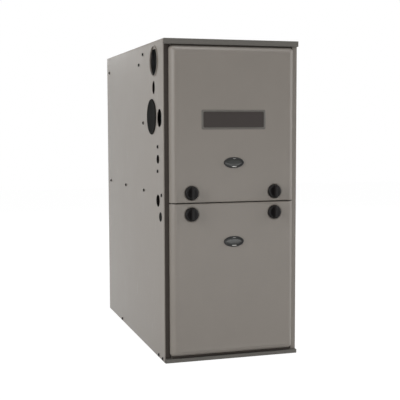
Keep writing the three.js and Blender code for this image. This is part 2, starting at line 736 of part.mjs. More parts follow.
// A door's outer form, or its hollow when inset by the sheet. The far end is rolled like the sides and
// the meeting end is folded square. far is the height of the rolled end and near that of the meeting end.
function doorForm(far, near, inset, back) {
  const up = Math.sign(near - far);
  const side = rolledEdge(inset);
  const across = outline([
    [-DOOR_X + inset, back],
    ...side.map(([u, v]) => [-DOOR_X + u, v]),
    ...[...side].reverse().map(([u, v]) => [DOOR_X - u, v]),
    [DOOR_X - inset, back],
  ]);
  const meeting = near - up * inset;
  const face = -DOOR_DEPTH + inset;
  const fold = Math.max(DOOR_MEETING_RADIUS - inset, 0.5);
  const upright = outline([
    [back, far + up * inset],
    ...side.map(([u, v]) => [v, far + up * u]),
    [face, meeting - up * fold],
    [face + fold * 0.3, meeting - up * fold * 0.3],
    [face + fold, meeting],
    [back, meeting],
  ]);
  const rolled = far + up * inset;
  const corner = DOOR_CORNER - inset;
  const half = DOOR_X - inset;
  const front = new THREE.Shape();
  front.moveTo(half, meeting);
  front.lineTo(-half, meeting);
  const [beside, under] = up > 0 ? [1.5 * Math.PI, 2 * Math.PI] : [Math.PI / 2, 0];
  front.absarc(-half + corner, rolled + up * corner, corner, Math.PI, beside, up < 0);
  front.absarc(half - corner, rolled + up * corner, corner, beside, under, up < 0);
  const [low, high] = [rolled, meeting].sort((first, second) => first - second);
  return common(
    prism(across, "z", low - 1, high + 1),
    prism(upright, "x", -DOOR_X, DOOR_X),
    prism(front, "y", -DOOR_DEPTH - 1, back, 2),
  );
}

// The round dish pressed in around a knob: a cone from the door's face down to the knob's seat.
const knobDish = (x, z, deeper) =>
  turned(
    [
      [0, -DOOR_DEPTH - 1],
      [KNOB_DISH_RADIUS + 1 + deeper, -DOOR_DEPTH - 1],
      [KNOB_DISH_RADIUS - KNOB_DISH_DEPTH * 2 + deeper, -DOOR_DEPTH + KNOB_DISH_DEPTH + deeper],
      [0, -DOOR_DEPTH + KNOB_DISH_DEPTH + deeper],
    ],
    "y",
    [x, z],
    16,
  );

const sightHole = (z, clearance) =>
  prism(
    ellipse(0, z, SIGHT_WIDTH - 2 * SIGHT_RIM + 2 * clearance, SIGHT_HEIGHT - 2 * SIGHT_RIM + 2 * clearance),
    "y",
    -DOOR_DEPTH - BEYOND,
    BEYOND,
    6,
  );

function doorSkin(far, near, knobZ, sightZ, hem) {
  const up = Math.sign(near - far);
  const knobs = [-KNOB_X, KNOB_X];
  const hollow = cut(doorForm(far, near, DOOR_SHEET, BEYOND), ...knobs.map((x) => knobDish(x, knobZ, DOOR_SHEET)));
  const outer = doorForm(far, near, 0, -SEAT);
  const backSheet = common(outer, box([-DOOR_X, DOOR_X], [-SEAT - DOOR_SHEET, -SEAT], [0, CASING_HEIGHT]));
  const ends = [far + up * DOOR_END_RETURN, near - up * DOOR_END_RETURN].sort((a, b) => a - b);
  const innerEdge = DOOR_X - DOOR_RETURN;
  const returns = cut(backSheet, box([-innerEdge, innerEdge], [-DOOR_DEPTH, BEYOND], ends));
  const hemFace = -RAIL_PROUD + DOOR_HEM_SET_BACK;
  const hemFold = folded(
    up > 0
      ? [[-SEAT - 1, hem], [hemFace, hem], [hemFace, far + DOOR_HEM_LAP]].reverse()
      : [[-SEAT - 1, hem], [hemFace, hem], [hemFace, far - DOOR_HEM_LAP]],
    DOOR_SHEET,
  );
  const lip = prism(hemFold, "x", -DOOR_HEM_WIDTH / 2, DOOR_HEM_WIDTH / 2);
  const shaftHoles = knobs.map((x) => rod("y", [x, knobZ], -DOOR_DEPTH, BEYOND, KNOB_SHAFT_RADIUS + RUNNING, 10));
  const dishes = knobs.map((x) => knobDish(x, knobZ, 0));
  return cut(join(cut(outer, hollow), returns, lip), dishes, shaftHoles, sightHole(sightZ, SEAT));
}

function doorLiner(far, near, knobZ, sightZ) {
  const ends = [far, near].sort((a, b) => a - b);
  const halfWidth = DOOR_X - DOOR_RETURN - LINER_MARGIN;
  const front = DOOR_SKIN_BACK + SEAT;
  const margin = DOOR_ROLL + LINER_MARGIN;
  const sheet = roundedRectangle(-halfWidth, halfWidth, ends[0] + margin, ends[1] - margin, 8);
  const knobHoles = [-KNOB_X, KNOB_X].map((x) =>
    rod("y", [x, knobZ], -DOOR_DEPTH, BEYOND, KNOB_DISH_RADIUS + LINER_KNOB_CLEARANCE, 14),
  );
  return cut(prism(sheet, "y", front, front + LINER_THICKNESS), knobHoles, sightHole(sightZ, 3));
}

function sightGlass(z) {
  const back = -DOOR_DEPTH - SEAT;
  const rim = softPrism(ellipse(0, z, SIGHT_WIDTH, SIGHT_HEIGHT), "y", back - SIGHT_PROUD, back, 1.1, 1, 7);
  const windowShape = ellipse(0, z, SIGHT_WIDTH - 2.4 * SIGHT_RIM, SIGHT_HEIGHT - 2.4 * SIGHT_RIM);
  const window = prism(windowShape, "y", back - SIGHT_PROUD - 1, back - SIGHT_PROUD + SIGHT_WINDOW_DEPTH, 7);
  const plugShape = ellipse(0, z, SIGHT_WIDTH - 2 * SIGHT_RIM, SIGHT_HEIGHT - 2 * SIGHT_RIM);
  const plug = prism(plugShape, "y", back - 1, back + SIGHT_PLUG_LENGTH, 6);
  return cut(join(rim, plug), window);
}

const LOWER_HEM = BASE_RAIL_HEIGHT + SEAT;
const UPPER_HEM = TOP_RAIL_BOTTOM - SEAT;
add("lower_door", doorSkin(LOWER_DOOR_BOTTOM, LOWER_DOOR_TOP, LOWER_KNOB_Z, LOWER_SIGHT_Z, LOWER_HEM), taupePaint);
add("lower_door_liner", doorLiner(LOWER_DOOR_BOTTOM, LOWER_DOOR_TOP, LOWER_KNOB_Z, LOWER_SIGHT_Z), foil);
add("lower_sight_glass", sightGlass(LOWER_SIGHT_Z), glass);
add("upper_door", doorSkin(UPPER_DOOR_TOP, UPPER_DOOR_BOTTOM, UPPER_KNOB_Z, UPPER_SIGHT_Z, UPPER_HEM), taupePaint);
add("upper_door_liner", doorLiner(UPPER_DOOR_TOP, UPPER_DOOR_BOTTOM, UPPER_KNOB_Z, UPPER_SIGHT_Z), foil);
add("upper_sight_glass", sightGlass(UPPER_SIGHT_Z), glass);

function namePlate() {
  const back = -DOOR_DEPTH - SEAT;
  const [x, z] = [PLATE_WIDTH / 2, PLATE_HEIGHT / 2];
  const plate = softPrism(
    roundedRectangle(-x, x, PLATE_Z - z, PLATE_Z + z, PLATE_CORNER),
    "y",
    back - PLATE_THICKNESS,
    back,
    0.5,
  );
  const [u, v] = [x - PLATE_RIM, z - PLATE_RIM];
  const field = roundedRectangle(-u, u, PLATE_Z - v, PLATE_Z + v, PLATE_CORNER / 2);
  return cut(plate, prism(field, "y", back - PLATE_THICKNESS - 1, back - PLATE_THICKNESS + PLATE_RECESS));
}

add("name_plate", namePlate(), blackPlastic);

// A knob drawn about its own axis: skirt, raised grip, shaft through the door and the cam bar behind it.
function doorKnob() {
  const skirtFront = KNOB_SEAT_Y - KNOB_SKIRT;
  const skirt = turned(
    [
      [0, skirtFront],
      [KNOB_RADIUS - 4, skirtFront],
      [KNOB_RADIUS - 1, skirtFront + 1.6],
      [KNOB_RADIUS, skirtFront + 4],
      [KNOB_RADIUS, KNOB_SEAT_Y],
      [0, KNOB_SEAT_Y],
    ],
    "y",
    [0, 0],
    14,
  );
  const [x, z] = [KNOB_GRIP_WIDTH / 2, KNOB_GRIP_LENGTH / 2];
  const grip = softPrism(
    roundedRectangle(-x, x, -z, z, KNOB_GRIP_CORNER),
    "y",
    skirtFront - KNOB_GRIP_RISE,
    skirtFront + 3,
    1.6,
  );
  const shaft = rod("y", [0, 0], KNOB_SEAT_Y - 1, CAM_FRONT + 1, KNOB_SHAFT_RADIUS, 6);
  const cam = box([-CAM_WIDTH / 2, CAM_WIDTH / 2], [CAM_FRONT, CAM_FRONT + CAM_THICKNESS], [-CAM_LENGTH / 2, CAM_LENGTH / 2]);
  return join(skirt, grip, shaft, cam);
}

add("upper_left_knob", doorKnob(), blackPlastic, [-KNOB_X, 0, UPPER_KNOB_Z]);
add("upper_right_knob", doorKnob(), blackPlastic, [KNOB_X, 0, UPPER_KNOB_Z]);
add("lower_left_knob", doorKnob(), blackPlastic, [-KNOB_X, 0, LOWER_KNOB_Z]);
add("lower_right_knob", doorKnob(), blackPlastic, [KNOB_X, 0, LOWER_KNOB_Z]);

// ---- Burners and gas train

const BOX_X = BURNER_BOX_WIDTH / 2;
const BOX_BOTTOM = BURNER_Z - BURNER_BOX_HEIGHT / 2;
const BOX_TOP = BURNER_Z + BURNER_BOX_HEIGHT / 2;
const BOX_BACK = VESTIBULE_DEPTH - BURNER_BOX_BACK_GAP;

function burnerBox() {
  const shell = cut(
    box([-BOX_X, BOX_X], [BURNER_BOX_FRONT, VESTIBULE_FACE], [BOX_BOTTOM, BOX_TOP]),
    box([-BOX_X + SHEET, BOX_X - SHEET], [BURNER_BOX_FRONT - 1, BOX_BACK - SHEET], [BOX_BOTTOM + SHEET, BOX_TOP - SHEET]),
    box([-BOX_X + SHEET, BOX_X - SHEET], [BOX_BACK, VESTIBULE_FACE + 1], [BOX_BOTTOM + SHEET, BOX_TOP - SHEET]),
  );
  const rim = BURNER_BOX_FLANGE;
  const flange = cut(
    box([-BOX_X - rim, BOX_X + rim], [VESTIBULE_FACE - SHEET, VESTIBULE_FACE], [BOX_BOTTOM - rim, BOX_TOP + rim]),
    box([-BOX_X + 1, BOX_X - 1], [VESTIBULE_FACE - BEYOND, VESTIBULE_FACE + 1], [BOX_BOTTOM + 1, BOX_TOP - 1]),
  );
  const carrier = box([-BOX_X, BOX_X], [BURNER_PLATE_Y, BURNER_PLATE_Y + SHEET], [BOX_BOTTOM, BURNER_Z + 26]);
  const carrierHoles = BURNER_XS.map((x) =>
    rod("y", [x, BURNER_Z], BURNER_PLATE_Y - 1, BURNER_PLATE_Y + SHEET + 1, BURNER_WAIST + SEAT, 10),
  );
  const flameHoles = BURNER_XS.map((x) => rod("y", [x, BURNER_Z], BOX_BACK - 3, BOX_BACK + 1, TUBE_RADIUS - 1, 12));
  const wireHoles = rod("x", [IGNITER_Y, BURNER_Z], -BOX_X - 2, BOX_X + 2, 5 + SEAT);
  return cut(join(shell, flange, cut(carrier, carrierHoles)), flameHoles, wireHoles);
}

add("burner_box", burnerBox(), aluminised);

// An in-shot burner: bell mouth, throat, straight waist in its carrier and flared flame end.
function burner() {
  const rise = [
    [BURNER_MOUTH, 0],
    [BURNER_THROAT, 22],
    [BURNER_WAIST, 36],
    [BURNER_WAIST, 56],
    [BURNER_FLARE, BURNER_LENGTH],
  ].map(([r, a]) => [r, BURNER_FRONT + a]);
  const bore = rise.map(([r, a]) => [r - BURNER_WALL, a]).reverse();
  return turned([...rise, ...bore, rise[0]], "y", [0, 0], 10);
}

BURNER_XS.forEach((x, i) => add(`burner_${i + 1}`, burner(), aluminised, [x, 0, BURNER_Z]));

function gasManifold() {
  const route = bentRoute(
    [
      [VALVE_X, MANIFOLD_Y, VALVE_TOP + SEAT],
      [VALVE_X, MANIFOLD_Y, BURNER_Z],
      [MANIFOLD_RIGHT, MANIFOLD_Y, BURNER_Z],
    ],
    MANIFOLD_BEND,
  );
  const cap = rod("x", [MANIFOLD_Y, BURNER_Z], MANIFOLD_RIGHT - 8, MANIFOLD_RIGHT + 2, MANIFOLD_RADIUS + 2, 6);
  const orifices = BURNER_XS.map((x) =>
    turned(
      [
        [0, MANIFOLD_Y + MANIFOLD_BORE + 0.5],
        [ORIFICE_RADIUS, MANIFOLD_Y + MANIFOLD_BORE + 0.5],
        [ORIFICE_RADIUS, MANIFOLD_Y + ORIFICE_REACH - 3],
        [ORIFICE_RADIUS - 3, MANIFOLD_Y + ORIFICE_REACH],
        [0, MANIFOLD_Y + ORIFICE_REACH],
      ],
      "y",
      [x, BURNER_Z],
      6,
    ),
  );
  const strapBack = BURNER_BOX_FRONT - SEAT;
  const straps = [-BURNER_PITCH / 2, BURNER_PITCH / 2].flatMap((x) => {
    const across = [x - MANIFOLD_STRAP / 2, x + MANIFOLD_STRAP / 2];
    return [
      box(across, [strapBack - SHEET, strapBack], [BOX_BOTTOM, BOX_TOP]),
      box(across, [MANIFOLD_Y + MANIFOLD_BORE + 0.5, strapBack], [BURNER_Z - SHEET, BURNER_Z + SHEET]),
    ];
  });
  return join(tube(route, MANIFOLD_RADIUS, MANIFOLD_BORE), cap, orifices, straps);
}

add("gas_manifold", gasManifold(), darkTaupe);

function gasValve() {
  const [left, right] = [VALVE_X - VALVE_WIDTH / 2, VALVE_X + VALVE_WIDTH / 2];
  const front = roundedRectangle(left, right, VALVE_BOTTOM, VALVE_TOP - 8, 6);
  const body = softPrism(front, "y", VALVE_FRONT + 8, VALVE_BACK, 2);
  const cover = softPrism(
    roundedRectangle(left + 4, right - 4, VALVE_BOTTOM + 26, VALVE_TOP - 12, 4),
    "y",
    VALVE_FRONT,
    VALVE_FRONT + 12,
    1.5,
  );
  const knobBoss = rod("y", [VALVE_X, VALVE_KNOB_Z], VALVE_FRONT, VALVE_FRONT + 12, VALVE_KNOB_RADIUS + 2, 10);
  const stemBore = rod("y", [VALVE_X, VALVE_KNOB_Z], VALVE_FRONT - 1, VALVE_FRONT + 9, 3 + RUNNING);
  const outlet = ring("z", [VALVE_X, MANIFOLD_Y], VALVE_TOP - 12, VALVE_TOP, MANIFOLD_RADIUS + 3, MANIFOLD_BORE, 8);
  const inlet = rod("x", [VALVE_PORT_Y, GAS_HOLE.z], left - VALVE_PORT_REACH, left + 4, VALVE_PORT_RADIUS);
  const inletBore = rod("x", [VALVE_PORT_Y, GAS_HOLE.z], left - VALVE_PORT_REACH - 1, left + 2, VALVE_PORT_RADIUS - 3.5);
  const bracket = box([left + 8, right - 8], [VALVE_BACK - 2, VALVE_BACK], [VALVE_BOTTOM - 6, VALVE_BOTTOM + 10]);
  return cut(join(body, cover, knobBoss, outlet, inlet, bracket), inletBore, stemBore);
}

add("gas_valve", gasValve(), castAluminium);

function valveKnob() {
  const back = VALVE_FRONT - SEAT;
  const cap = turned(
    [
      [0, back - VALVE_KNOB_HEIGHT],
      [VALVE_KNOB_RADIUS - 2, back - VALVE_KNOB_HEIGHT],
      [VALVE_KNOB_RADIUS, back - VALVE_KNOB_HEIGHT + 2],
      [VALVE_KNOB_RADIUS, back],
      [0, back],
    ],
    "y",
    [0, 0],
    10,
  );
  const grip = box([-2, 2], [back - VALVE_KNOB_HEIGHT - 4, back - 2], [-VALVE_KNOB_RADIUS + 1, VALVE_KNOB_RADIUS - 1]);
  const stem = rod("y", [0, 0], back - 1, back + 7, 3);
  return join(cap, grip, stem);
}

add("gas_valve_knob", valveKnob(), red, [VALVE_X, 0, VALVE_KNOB_Z]);

// A ceramic holder through one side wall of the burner box and the thin element in the flame's path.
function flameProbe(side, elementRadius, elementReach) {
  const holder = [side * (BOX_X - 18), side * (BOX_X + 22)].sort((a, b) => a - b);
  const collar = [side * (BOX_X + SEAT), side * (BOX_X + 6)].sort((a, b) => a - b);
  const element = [side * (BOX_X - 17), side * (BOX_X - 18 - elementReach)].sort((a, b) => a - b);
  return join(
    rod("x", [IGNITER_Y, BURNER_Z], ...holder, 5),
    box(collar, [IGNITER_Y - 8, IGNITER_Y + 8], [BURNER_Z - 14, BURNER_Z + 14]),
    rod("x", [IGNITER_Y, BURNER_Z], ...element, elementRadius, 6),
  );
}

add("igniter", flameProbe(-1, 3, 22), ceramic);
add("flame_sensor", flameProbe(1, 1.6, 26), ceramic);

const ROLLOUT_BOTTOM = BOX_TOP + SEAT;
const ROLLOUT_TOP = ROLLOUT_BOTTOM + ROLLOUT_HEIGHT;

function rolloutSwitch() {
  const centre = [ROLLOUT_X, ROLLOUT_Y];
  const body = rod("z", centre, ROLLOUT_BOTTOM, ROLLOUT_TOP, ROLLOUT_RADIUS, 12);
  const ears = box([ROLLOUT_X - 18, ROLLOUT_X + 18], [ROLLOUT_Y - 5, ROLLOUT_Y + 5], [ROLLOUT_BOTTOM, ROLLOUT_BOTTOM + 1.2]);
  const bore = rod("z", centre, ROLLOUT_TOP - BUTTON_BORE_DEPTH, ROLLOUT_TOP + 1, BUTTON_RADIUS + RUNNING);
  const tab = (side) => {
    const x = ROLLOUT_X + side * (ROLLOUT_RADIUS - 2);
    return box([x - 3, x + 3], [ROLLOUT_Y - 0.5, ROLLOUT_Y + 0.5], [ROLLOUT_TOP - 1, ROLLOUT_TOP + 7]);
  };
  return join(cut(join(body, ears), bore), tab(-1), tab(1));
}

add("rollout_switch", rolloutSwitch(), blackPlastic);
const buttonBottom = ROLLOUT_TOP - BUTTON_BORE_DEPTH + 2;
add(
  "rollout_reset_button",
  rod("z", [ROLLOUT_X, ROLLOUT_Y], buttonBottom, ROLLOUT_TOP + BUTTON_RISE, BUTTON_RADIUS),
  red,
);

function limitSwitch() {
  const flange = prism(roundedRectangle(-22, 22, LIMIT_Z - 12, LIMIT_Z + 12, 5), "y", VESTIBULE_FACE - 1.5, VESTIBULE_FACE);
  const body = rod("y", [0, LIMIT_Z], VESTIBULE_FACE - 14, VESTIBULE_FACE - 1, 9, 12);
  const tab = (x) => box([x - 0.5, x + 0.5], [VESTIBULE_FACE - 22, VESTIBULE_FACE - 12], [LIMIT_Z - 3, LIMIT_Z + 3]);
  return join(flange, body, tab(-5), tab(5));
}

add("limit_switch", limitSwitch(), blackPlastic);

// ---- Heat exchanger

function primaryTube() {
  const [top, middle, bottom] = [BURNER_Z, BURNER_Z - 2 * TUBE_BEND, BURNER_Z - 4 * TUBE_BEND];
  const back = TUBE_REAR_BEND_Y + TUBE_BEND;
  const front = TUBE_FRONT_BEND_Y - TUBE_BEND;
  const corners = [
    [0, TUBE_FRONT, top],
    [0, back, top],
    [0, back, middle],
    [0, front, middle],
    [0, front, bottom],
    [0, COUPLING_FRONT - SEAT, bottom],
  ];
  return tube(bentRoute(corners, TUBE_BEND - 0.01), TUBE_RADIUS, TUBE_RADIUS - TUBE_WALL);
}

BURNER_XS.forEach((x, i) => add(`primary_tube_${i + 1}`, primaryTube(), aluminised, [x, 0, 0]));

function couplingBox() {
  const half = COUPLING_WIDTH / 2;
  const shape = roundedRectangle(-half, half, COIL_BOTTOM - COIL_PLATE_RIM, COUPLING_TOP, 12);
  return softPrism(shape, "y", COUPLING_FRONT, COUPLING_BACK, 5);
}

add("coupling_box", couplingBox(), stainless);

// The finned coil: a core with fins above and below it and a plate at the front where it is bolted on.
function secondaryCoil() {
  const front = VESTIBULE_DEPTH + SHEET + SEAT;
  const finFront = front + 24;
  const finBack = COUPLING_FRONT - SEAT;
  const pitch = (finBack - finFront) / COIL_FINS;
  const middle = (COIL_BOTTOM + COIL_TOP) / 2;
  const comb = (edge, core) =>
    Array.from({ length: COIL_FINS }, (_, i) => finFront + i * pitch).flatMap((y) => [
      [y, core],
      [y, edge],
      [y + pitch * FIN_SHARE, edge],
      [y + pitch * FIN_SHARE, core],
    ]);
  const upper = comb(COIL_TOP, middle + COIL_CORE / 2);
  const lower = comb(COIL_BOTTOM, middle - COIL_CORE / 2).reverse();
  const section = outline([
    [front + 1, middle + COIL_CORE / 2],
    ...upper,
    [finBack, middle + COIL_CORE / 2],
    [finBack, middle - COIL_CORE / 2],
    ...lower,
    [front + 1, middle - COIL_CORE / 2],
  ]);
  const half = COIL_WIDTH / 2;
  const fins = prism(section, "x", -half, half);
  const rim = COIL_PLATE_RIM;
  const plate = box([-half - rim, half + rim], [front, front + COIL_FRONT_PLATE], [COIL_BOTTOM - rim, COIL_TOP + rim]);
  return join(fins, plate);
}

add("secondary_coil", secondaryCoil(), stainless);

function collectorBox() {
  const half = COIL_WIDTH / 2 + COLLECTOR_MARGIN;
  const [low, high] = [COIL_BOTTOM - COLLECTOR_MARGIN, COIL_TOP + COLLECTOR_MARGIN];
  const body = softPrism(roundedRectangle(-half, half, low, high, 10), "y", COLLECTOR_FRONT + 4, VESTIBULE_FACE, 3);
  const port = ring("y", [INDUCER_X, INDUCER_Z], INDUCER_BACK + SEAT, COLLECTOR_FRONT + 6, INDUCER_INLET_RADIUS, INDUCER_INLET_RADIUS - 4);
  const nipple = ring("y", [-60, 474], COLLECTOR_FRONT - 14, COLLECTOR_FRONT + 6, 6, 3.5, 8);
  const ribPitch = (2 * half) / (COLLECTOR_WALL_RIBS + 1);
  const ribs = Array.from({ length: COLLECTOR_WALL_RIBS }, (_, i) => -half + (i + 1) * ribPitch).map((x) =>
    box([x - 1.2, x + 1.2], [COLLECTOR_FRONT, COLLECTOR_FRONT + 8], [low + 8, high - 8]),
  );
  return join(body, ...ribs.map((rib) => cut(rib, rod("y", [INDUCER_X, INDUCER_Z], 100, 200, INDUCER_INLET_RADIUS - 2))), port, nipple);
}

add("collector_box", collectorBox(), blackPlastic);

// ---- Draft inducer and venting

// The volute in the plane of x and z. Its spiral starts at the top left and its outlet rises on the right.
function voluteOutline(inset, top) {
  const steps = 12;
  const start = Math.PI / 2 + 0.35;
  const points = Array.from({ length: steps + 1 }, (_, i) => {
    const turn = start + ((2 * Math.PI - start) * i) / steps;
    const radius = VOLUTE_START + ((VOLUTE_END - VOLUTE_START) * i) / steps - inset;
    return [INDUCER_X + radius * Math.cos(turn), INDUCER_Z + radius * Math.sin(turn)];
  });
  const neckLeft = VENT_START[0] - VENT_PIPE_RADIUS - VENT_COLLAR_WALL + inset + 3;
  const cutoff = INDUCER_Z + VOLUTE_START + inset;
  return outline([...points, [INDUCER_X + VOLUTE_END - inset, top], [neckLeft, top], [neckLeft, cutoff]]);
}

function inducerHousing() {
  const [front, back] = [INDUCER_FRONT, INDUCER_BACK];
  const outer = prism(voluteOutline(0, VOLUTE_TOP), "y", front, back);
  const hollow = prism(voluteOutline(INDUCER_WALL, VOLUTE_TOP - INDUCER_WALL), "y", front + INDUCER_WALL, back - INDUCER_WALL);
  const collarLow = VOLUTE_TOP - 4;
  const collar = rod("z", VENT_START, collarLow, collarLow + VENT_COLLAR_LENGTH, VENT_PIPE_RADIUS + VENT_COLLAR_WALL + VENT_FIT, 14);
  const pipeBore = rod("z", VENT_START, collarLow + 6, collarLow + VENT_COLLAR_LENGTH + 1, VENT_PIPE_RADIUS + VENT_FIT, 14);
  const throat = rod("z", VENT_START, VOLUTE_TOP - 10, collarLow + 7, 20, 10);
  const inlet = rod("y", [INDUCER_X, INDUCER_Z], back - INDUCER_WALL - 1, back + 1, INDUCER_INLET_RADIUS - 4, 12);
  const shaftHole = rod("y", [INDUCER_X, INDUCER_Z], front - 1, front + INDUCER_WALL + 1, INDUCER_SHAFT_RADIUS + RUNNING);
  const tap = rod("x", [(front + back) / 2, 540], INDUCER_X - 80, INDUCER_X - 40, 2.2, 8);
  return cut(join(cut(outer, hollow), collar, cut(tap, hollow)), pipeBore, throat, inlet, shaftHole);
}

add("inducer_housing", inducerHousing(), blackPlastic);

function inducerWheel() {
  const front = INDUCER_FRONT + INDUCER_WALL + 4;
  const back = INDUCER_BACK - INDUCER_WALL - 4;
  const disc = rod("y", [0, 0], front, front + 2, INDUCER_WHEEL_RADIUS, 18);
  const hub = rod("y", [0, 0], front, back - 8, 9, 10);
  const shaft = rod("y", [0, 0], INDUCER_MOTOR_BACK - 16, back - 6, INDUCER_SHAFT_RADIUS);
  const blade = new THREE.Shape();
  blade.moveTo(14, -1);
  blade.quadraticCurveTo(30, 3, INDUCER_WHEEL_RADIUS - 1, 12);
  blade.lineTo(INDUCER_WHEEL_RADIUS - 2, 13.6);
  blade.quadraticCurveTo(30, 5, 14, 1);
  const blades = Array.from({ length: INDUCER_WHEEL_BLADES }, (_, i) => {
    const pulled = new THREE.ExtrudeGeometry(blade, { depth: back - front - 1, bevelEnabled: false, curveSegments: 2 });
    pulled.rotateZ((2 * Math.PI * i) / INDUCER_WHEEL_BLADES);
    return solid(standAlong(pulled, "y", front + 1, back));
  });
  return join(disc, hub, shaft, blades);
}

add("inducer_wheel", inducerWheel(), aluminised, [INDUCER_X, 0, INDUCER_Z]);

function inducerMotor() {
  const [front, back] = [INDUCER_MOTOR_BACK - INDUCER_MOTOR_LENGTH, INDUCER_MOTOR_BACK];
  const can = turned(
    [
      [0, front],
      [16, front],
      [18, front + 8],
      [INDUCER_MOTOR_RADIUS - 8, front + 10],
      [INDUCER_MOTOR_RADIUS, front + 16],
      [INDUCER_MOTOR_RADIUS, back - 12],
      [INDUCER_MOTOR_RADIUS - 8, back - 8],
      [INDUCER_MOTOR_RADIUS - 8, back],
      [INDUCER_SHAFT_RADIUS + RUNNING, back],
      [INDUCER_SHAFT_RADIUS + RUNNING, back - 20],
      [0, back - 20],
    ],
    "y",
    [INDUCER_X, INDUCER_Z],
  );
  const feet = [0, 1, 2].map((i) => {
    const turn = (2 * Math.PI * i) / 3 + Math.PI / 6;
    const [x, z] = [INDUCER_X + 36 * Math.cos(turn), INDUCER_Z + 36 * Math.sin(turn)];
    return rod("y", [x, z], back - 15, back + 0.1, 6.5, 8);
  });
  return join(can, feet);
}

add("inducer_motor", inducerMotor(), blackPlastic);

function ventPipe() {
  const [x, y] = VENT_START;
  const start = VOLUTE_TOP + 4;
  const corners = [
    [x, y, start],
    [x, y, start + VENT_STRAIGHT],
    [VENT_X, VENT_Y, start + VENT_STRAIGHT + VENT_OFFSET_RISE],
    [VENT_X, VENT_Y, CASING_HEIGHT],
  ];
  return tube(bentRoute(corners, VENT_BEND), VENT_PIPE_RADIUS, VENT_PIPE_RADIUS - VENT_PIPE_WALL, 12);
}

add("vent_pipe", ventPipe(), whitePlastic);

function intakePipe() {
  const seat = CASING_HEIGHT + SEAT;
  const bore = VENT_PIPE_RADIUS - VENT_PIPE_WALL;
  const profile = [
    [bore, seat + INTAKE_FLANGE],
    [bore, seat - INTAKE_DROP],
    [VENT_PIPE_RADIUS, seat - INTAKE_DROP],
    [VENT_PIPE_RADIUS, seat],
    [INTAKE_FLANGE_RADIUS, seat],
    [INTAKE_FLANGE_RADIUS, seat + INTAKE_FLANGE - 1],
    [INTAKE_FLANGE_RADIUS - 1, seat + INTAKE_FLANGE],
    [bore, seat + INTAKE_FLANGE],
  ];
  return turned(profile, "z", [INTAKE_X, INTAKE_Y]);
}

add("intake_pipe", intakePipe(), blackPlastic);

const PRESSURE_PORT_Y = 170;

function pressureSwitch() {
  const centre = [PRESSURE_SWITCH_X, PRESSURE_SWITCH_Z];
  const back = VESTIBULE_FACE - 6;
  const can = turned(
    [
      [0, back - 22],
      [14, back - 22],
      [16, back - 14],
      [PRESSURE_SWITCH_RADIUS - 3, back - 13],
      [PRESSURE_SWITCH_RADIUS, back - 11],
      [PRESSURE_SWITCH_RADIUS, back - 7],
      [PRESSURE_SWITCH_RADIUS - 3, back - 5],
      [22, back],
      [0, back],
    ],
    "y",
    centre,
    12,
  );
  const barb = rod("y", centre, PRESSURE_PORT_Y, back - 20, 3, 6);
  const bracket = box(
    [PRESSURE_SWITCH_X - 16, PRESSURE_SWITCH_X + 16],
    [back - 1, VESTIBULE_FACE],
    [PRESSURE_SWITCH_Z - 20, PRESSURE_SWITCH_Z + 20],
  );
  return join(can, barb, bracket);
}

add("pressure_switch", pressureSwitch(), greyPlastic);

function pressureHose() {
  const tapX = INDUCER_X - 80 - SEAT;
  const tapY = (INDUCER_FRONT + INDUCER_BACK) / 2;
  const corners = [
    [PRESSURE_SWITCH_X, PRESSURE_PORT_Y - SEAT, PRESSURE_SWITCH_Z],
    [PRESSURE_SWITCH_X, tapY, PRESSURE_SWITCH_Z],
    [PRESSURE_SWITCH_X + 36, tapY, 540],
    [tapX, tapY, 540],
  ];
  return tube(bentRoute(corners, 14), HOSE_RADIUS, HOSE_BORE, 6);
}

add("pressure_hose", pressureHose(), red);

const TRAP_LEFT = -OUTER_X + TRAP_FROM_SIDE;
const TRAP = { left: TRAP_LEFT, right: TRAP_LEFT + TRAP_WIDTH, front: 100, back: 150, top: 496 };

function condensateTrap() {
  const bottom = DECK_TOP + SEAT;
  const body = softPrism(roundedRectangle(TRAP.left, TRAP.right, TRAP.front, TRAP.back, 6), "z", bottom, TRAP.top, 2);
  const cap = ring("z", [TRAP.left + 23, TRAP.front + 25], TRAP.top - 1, TRAP.top + 9, 14, 9, 8);
  const inlet = rod("x", [124, 484], TRAP.right - 2, TRAP.right + 10, 6);
  const outlet = rod("y", [TRAP.left + 12, 446], TRAP.front - 14, TRAP.front + 2, 8);
  return join(body, cap, inlet, outlet);
}

add("condensate_trap", condensateTrap(), greyPlastic);

function drainHose() {
  const corners = [
    [-60, COLLECTOR_FRONT - 14 - SEAT, 474],
    [-60, 124, 474],
    [-92, 124, 484],
    [TRAP.right + 10 + SEAT, 124, 484],
  ];
  return tube(bentRoute(corners, 9), DRAIN_HOSE_RADIUS, DRAIN_HOSE_BORE, 6);
}

add("drain_hose", drainHose(), rubber);

// ---- Circulating blower

const BLOWER_TOP = DECK_Z - SEAT;

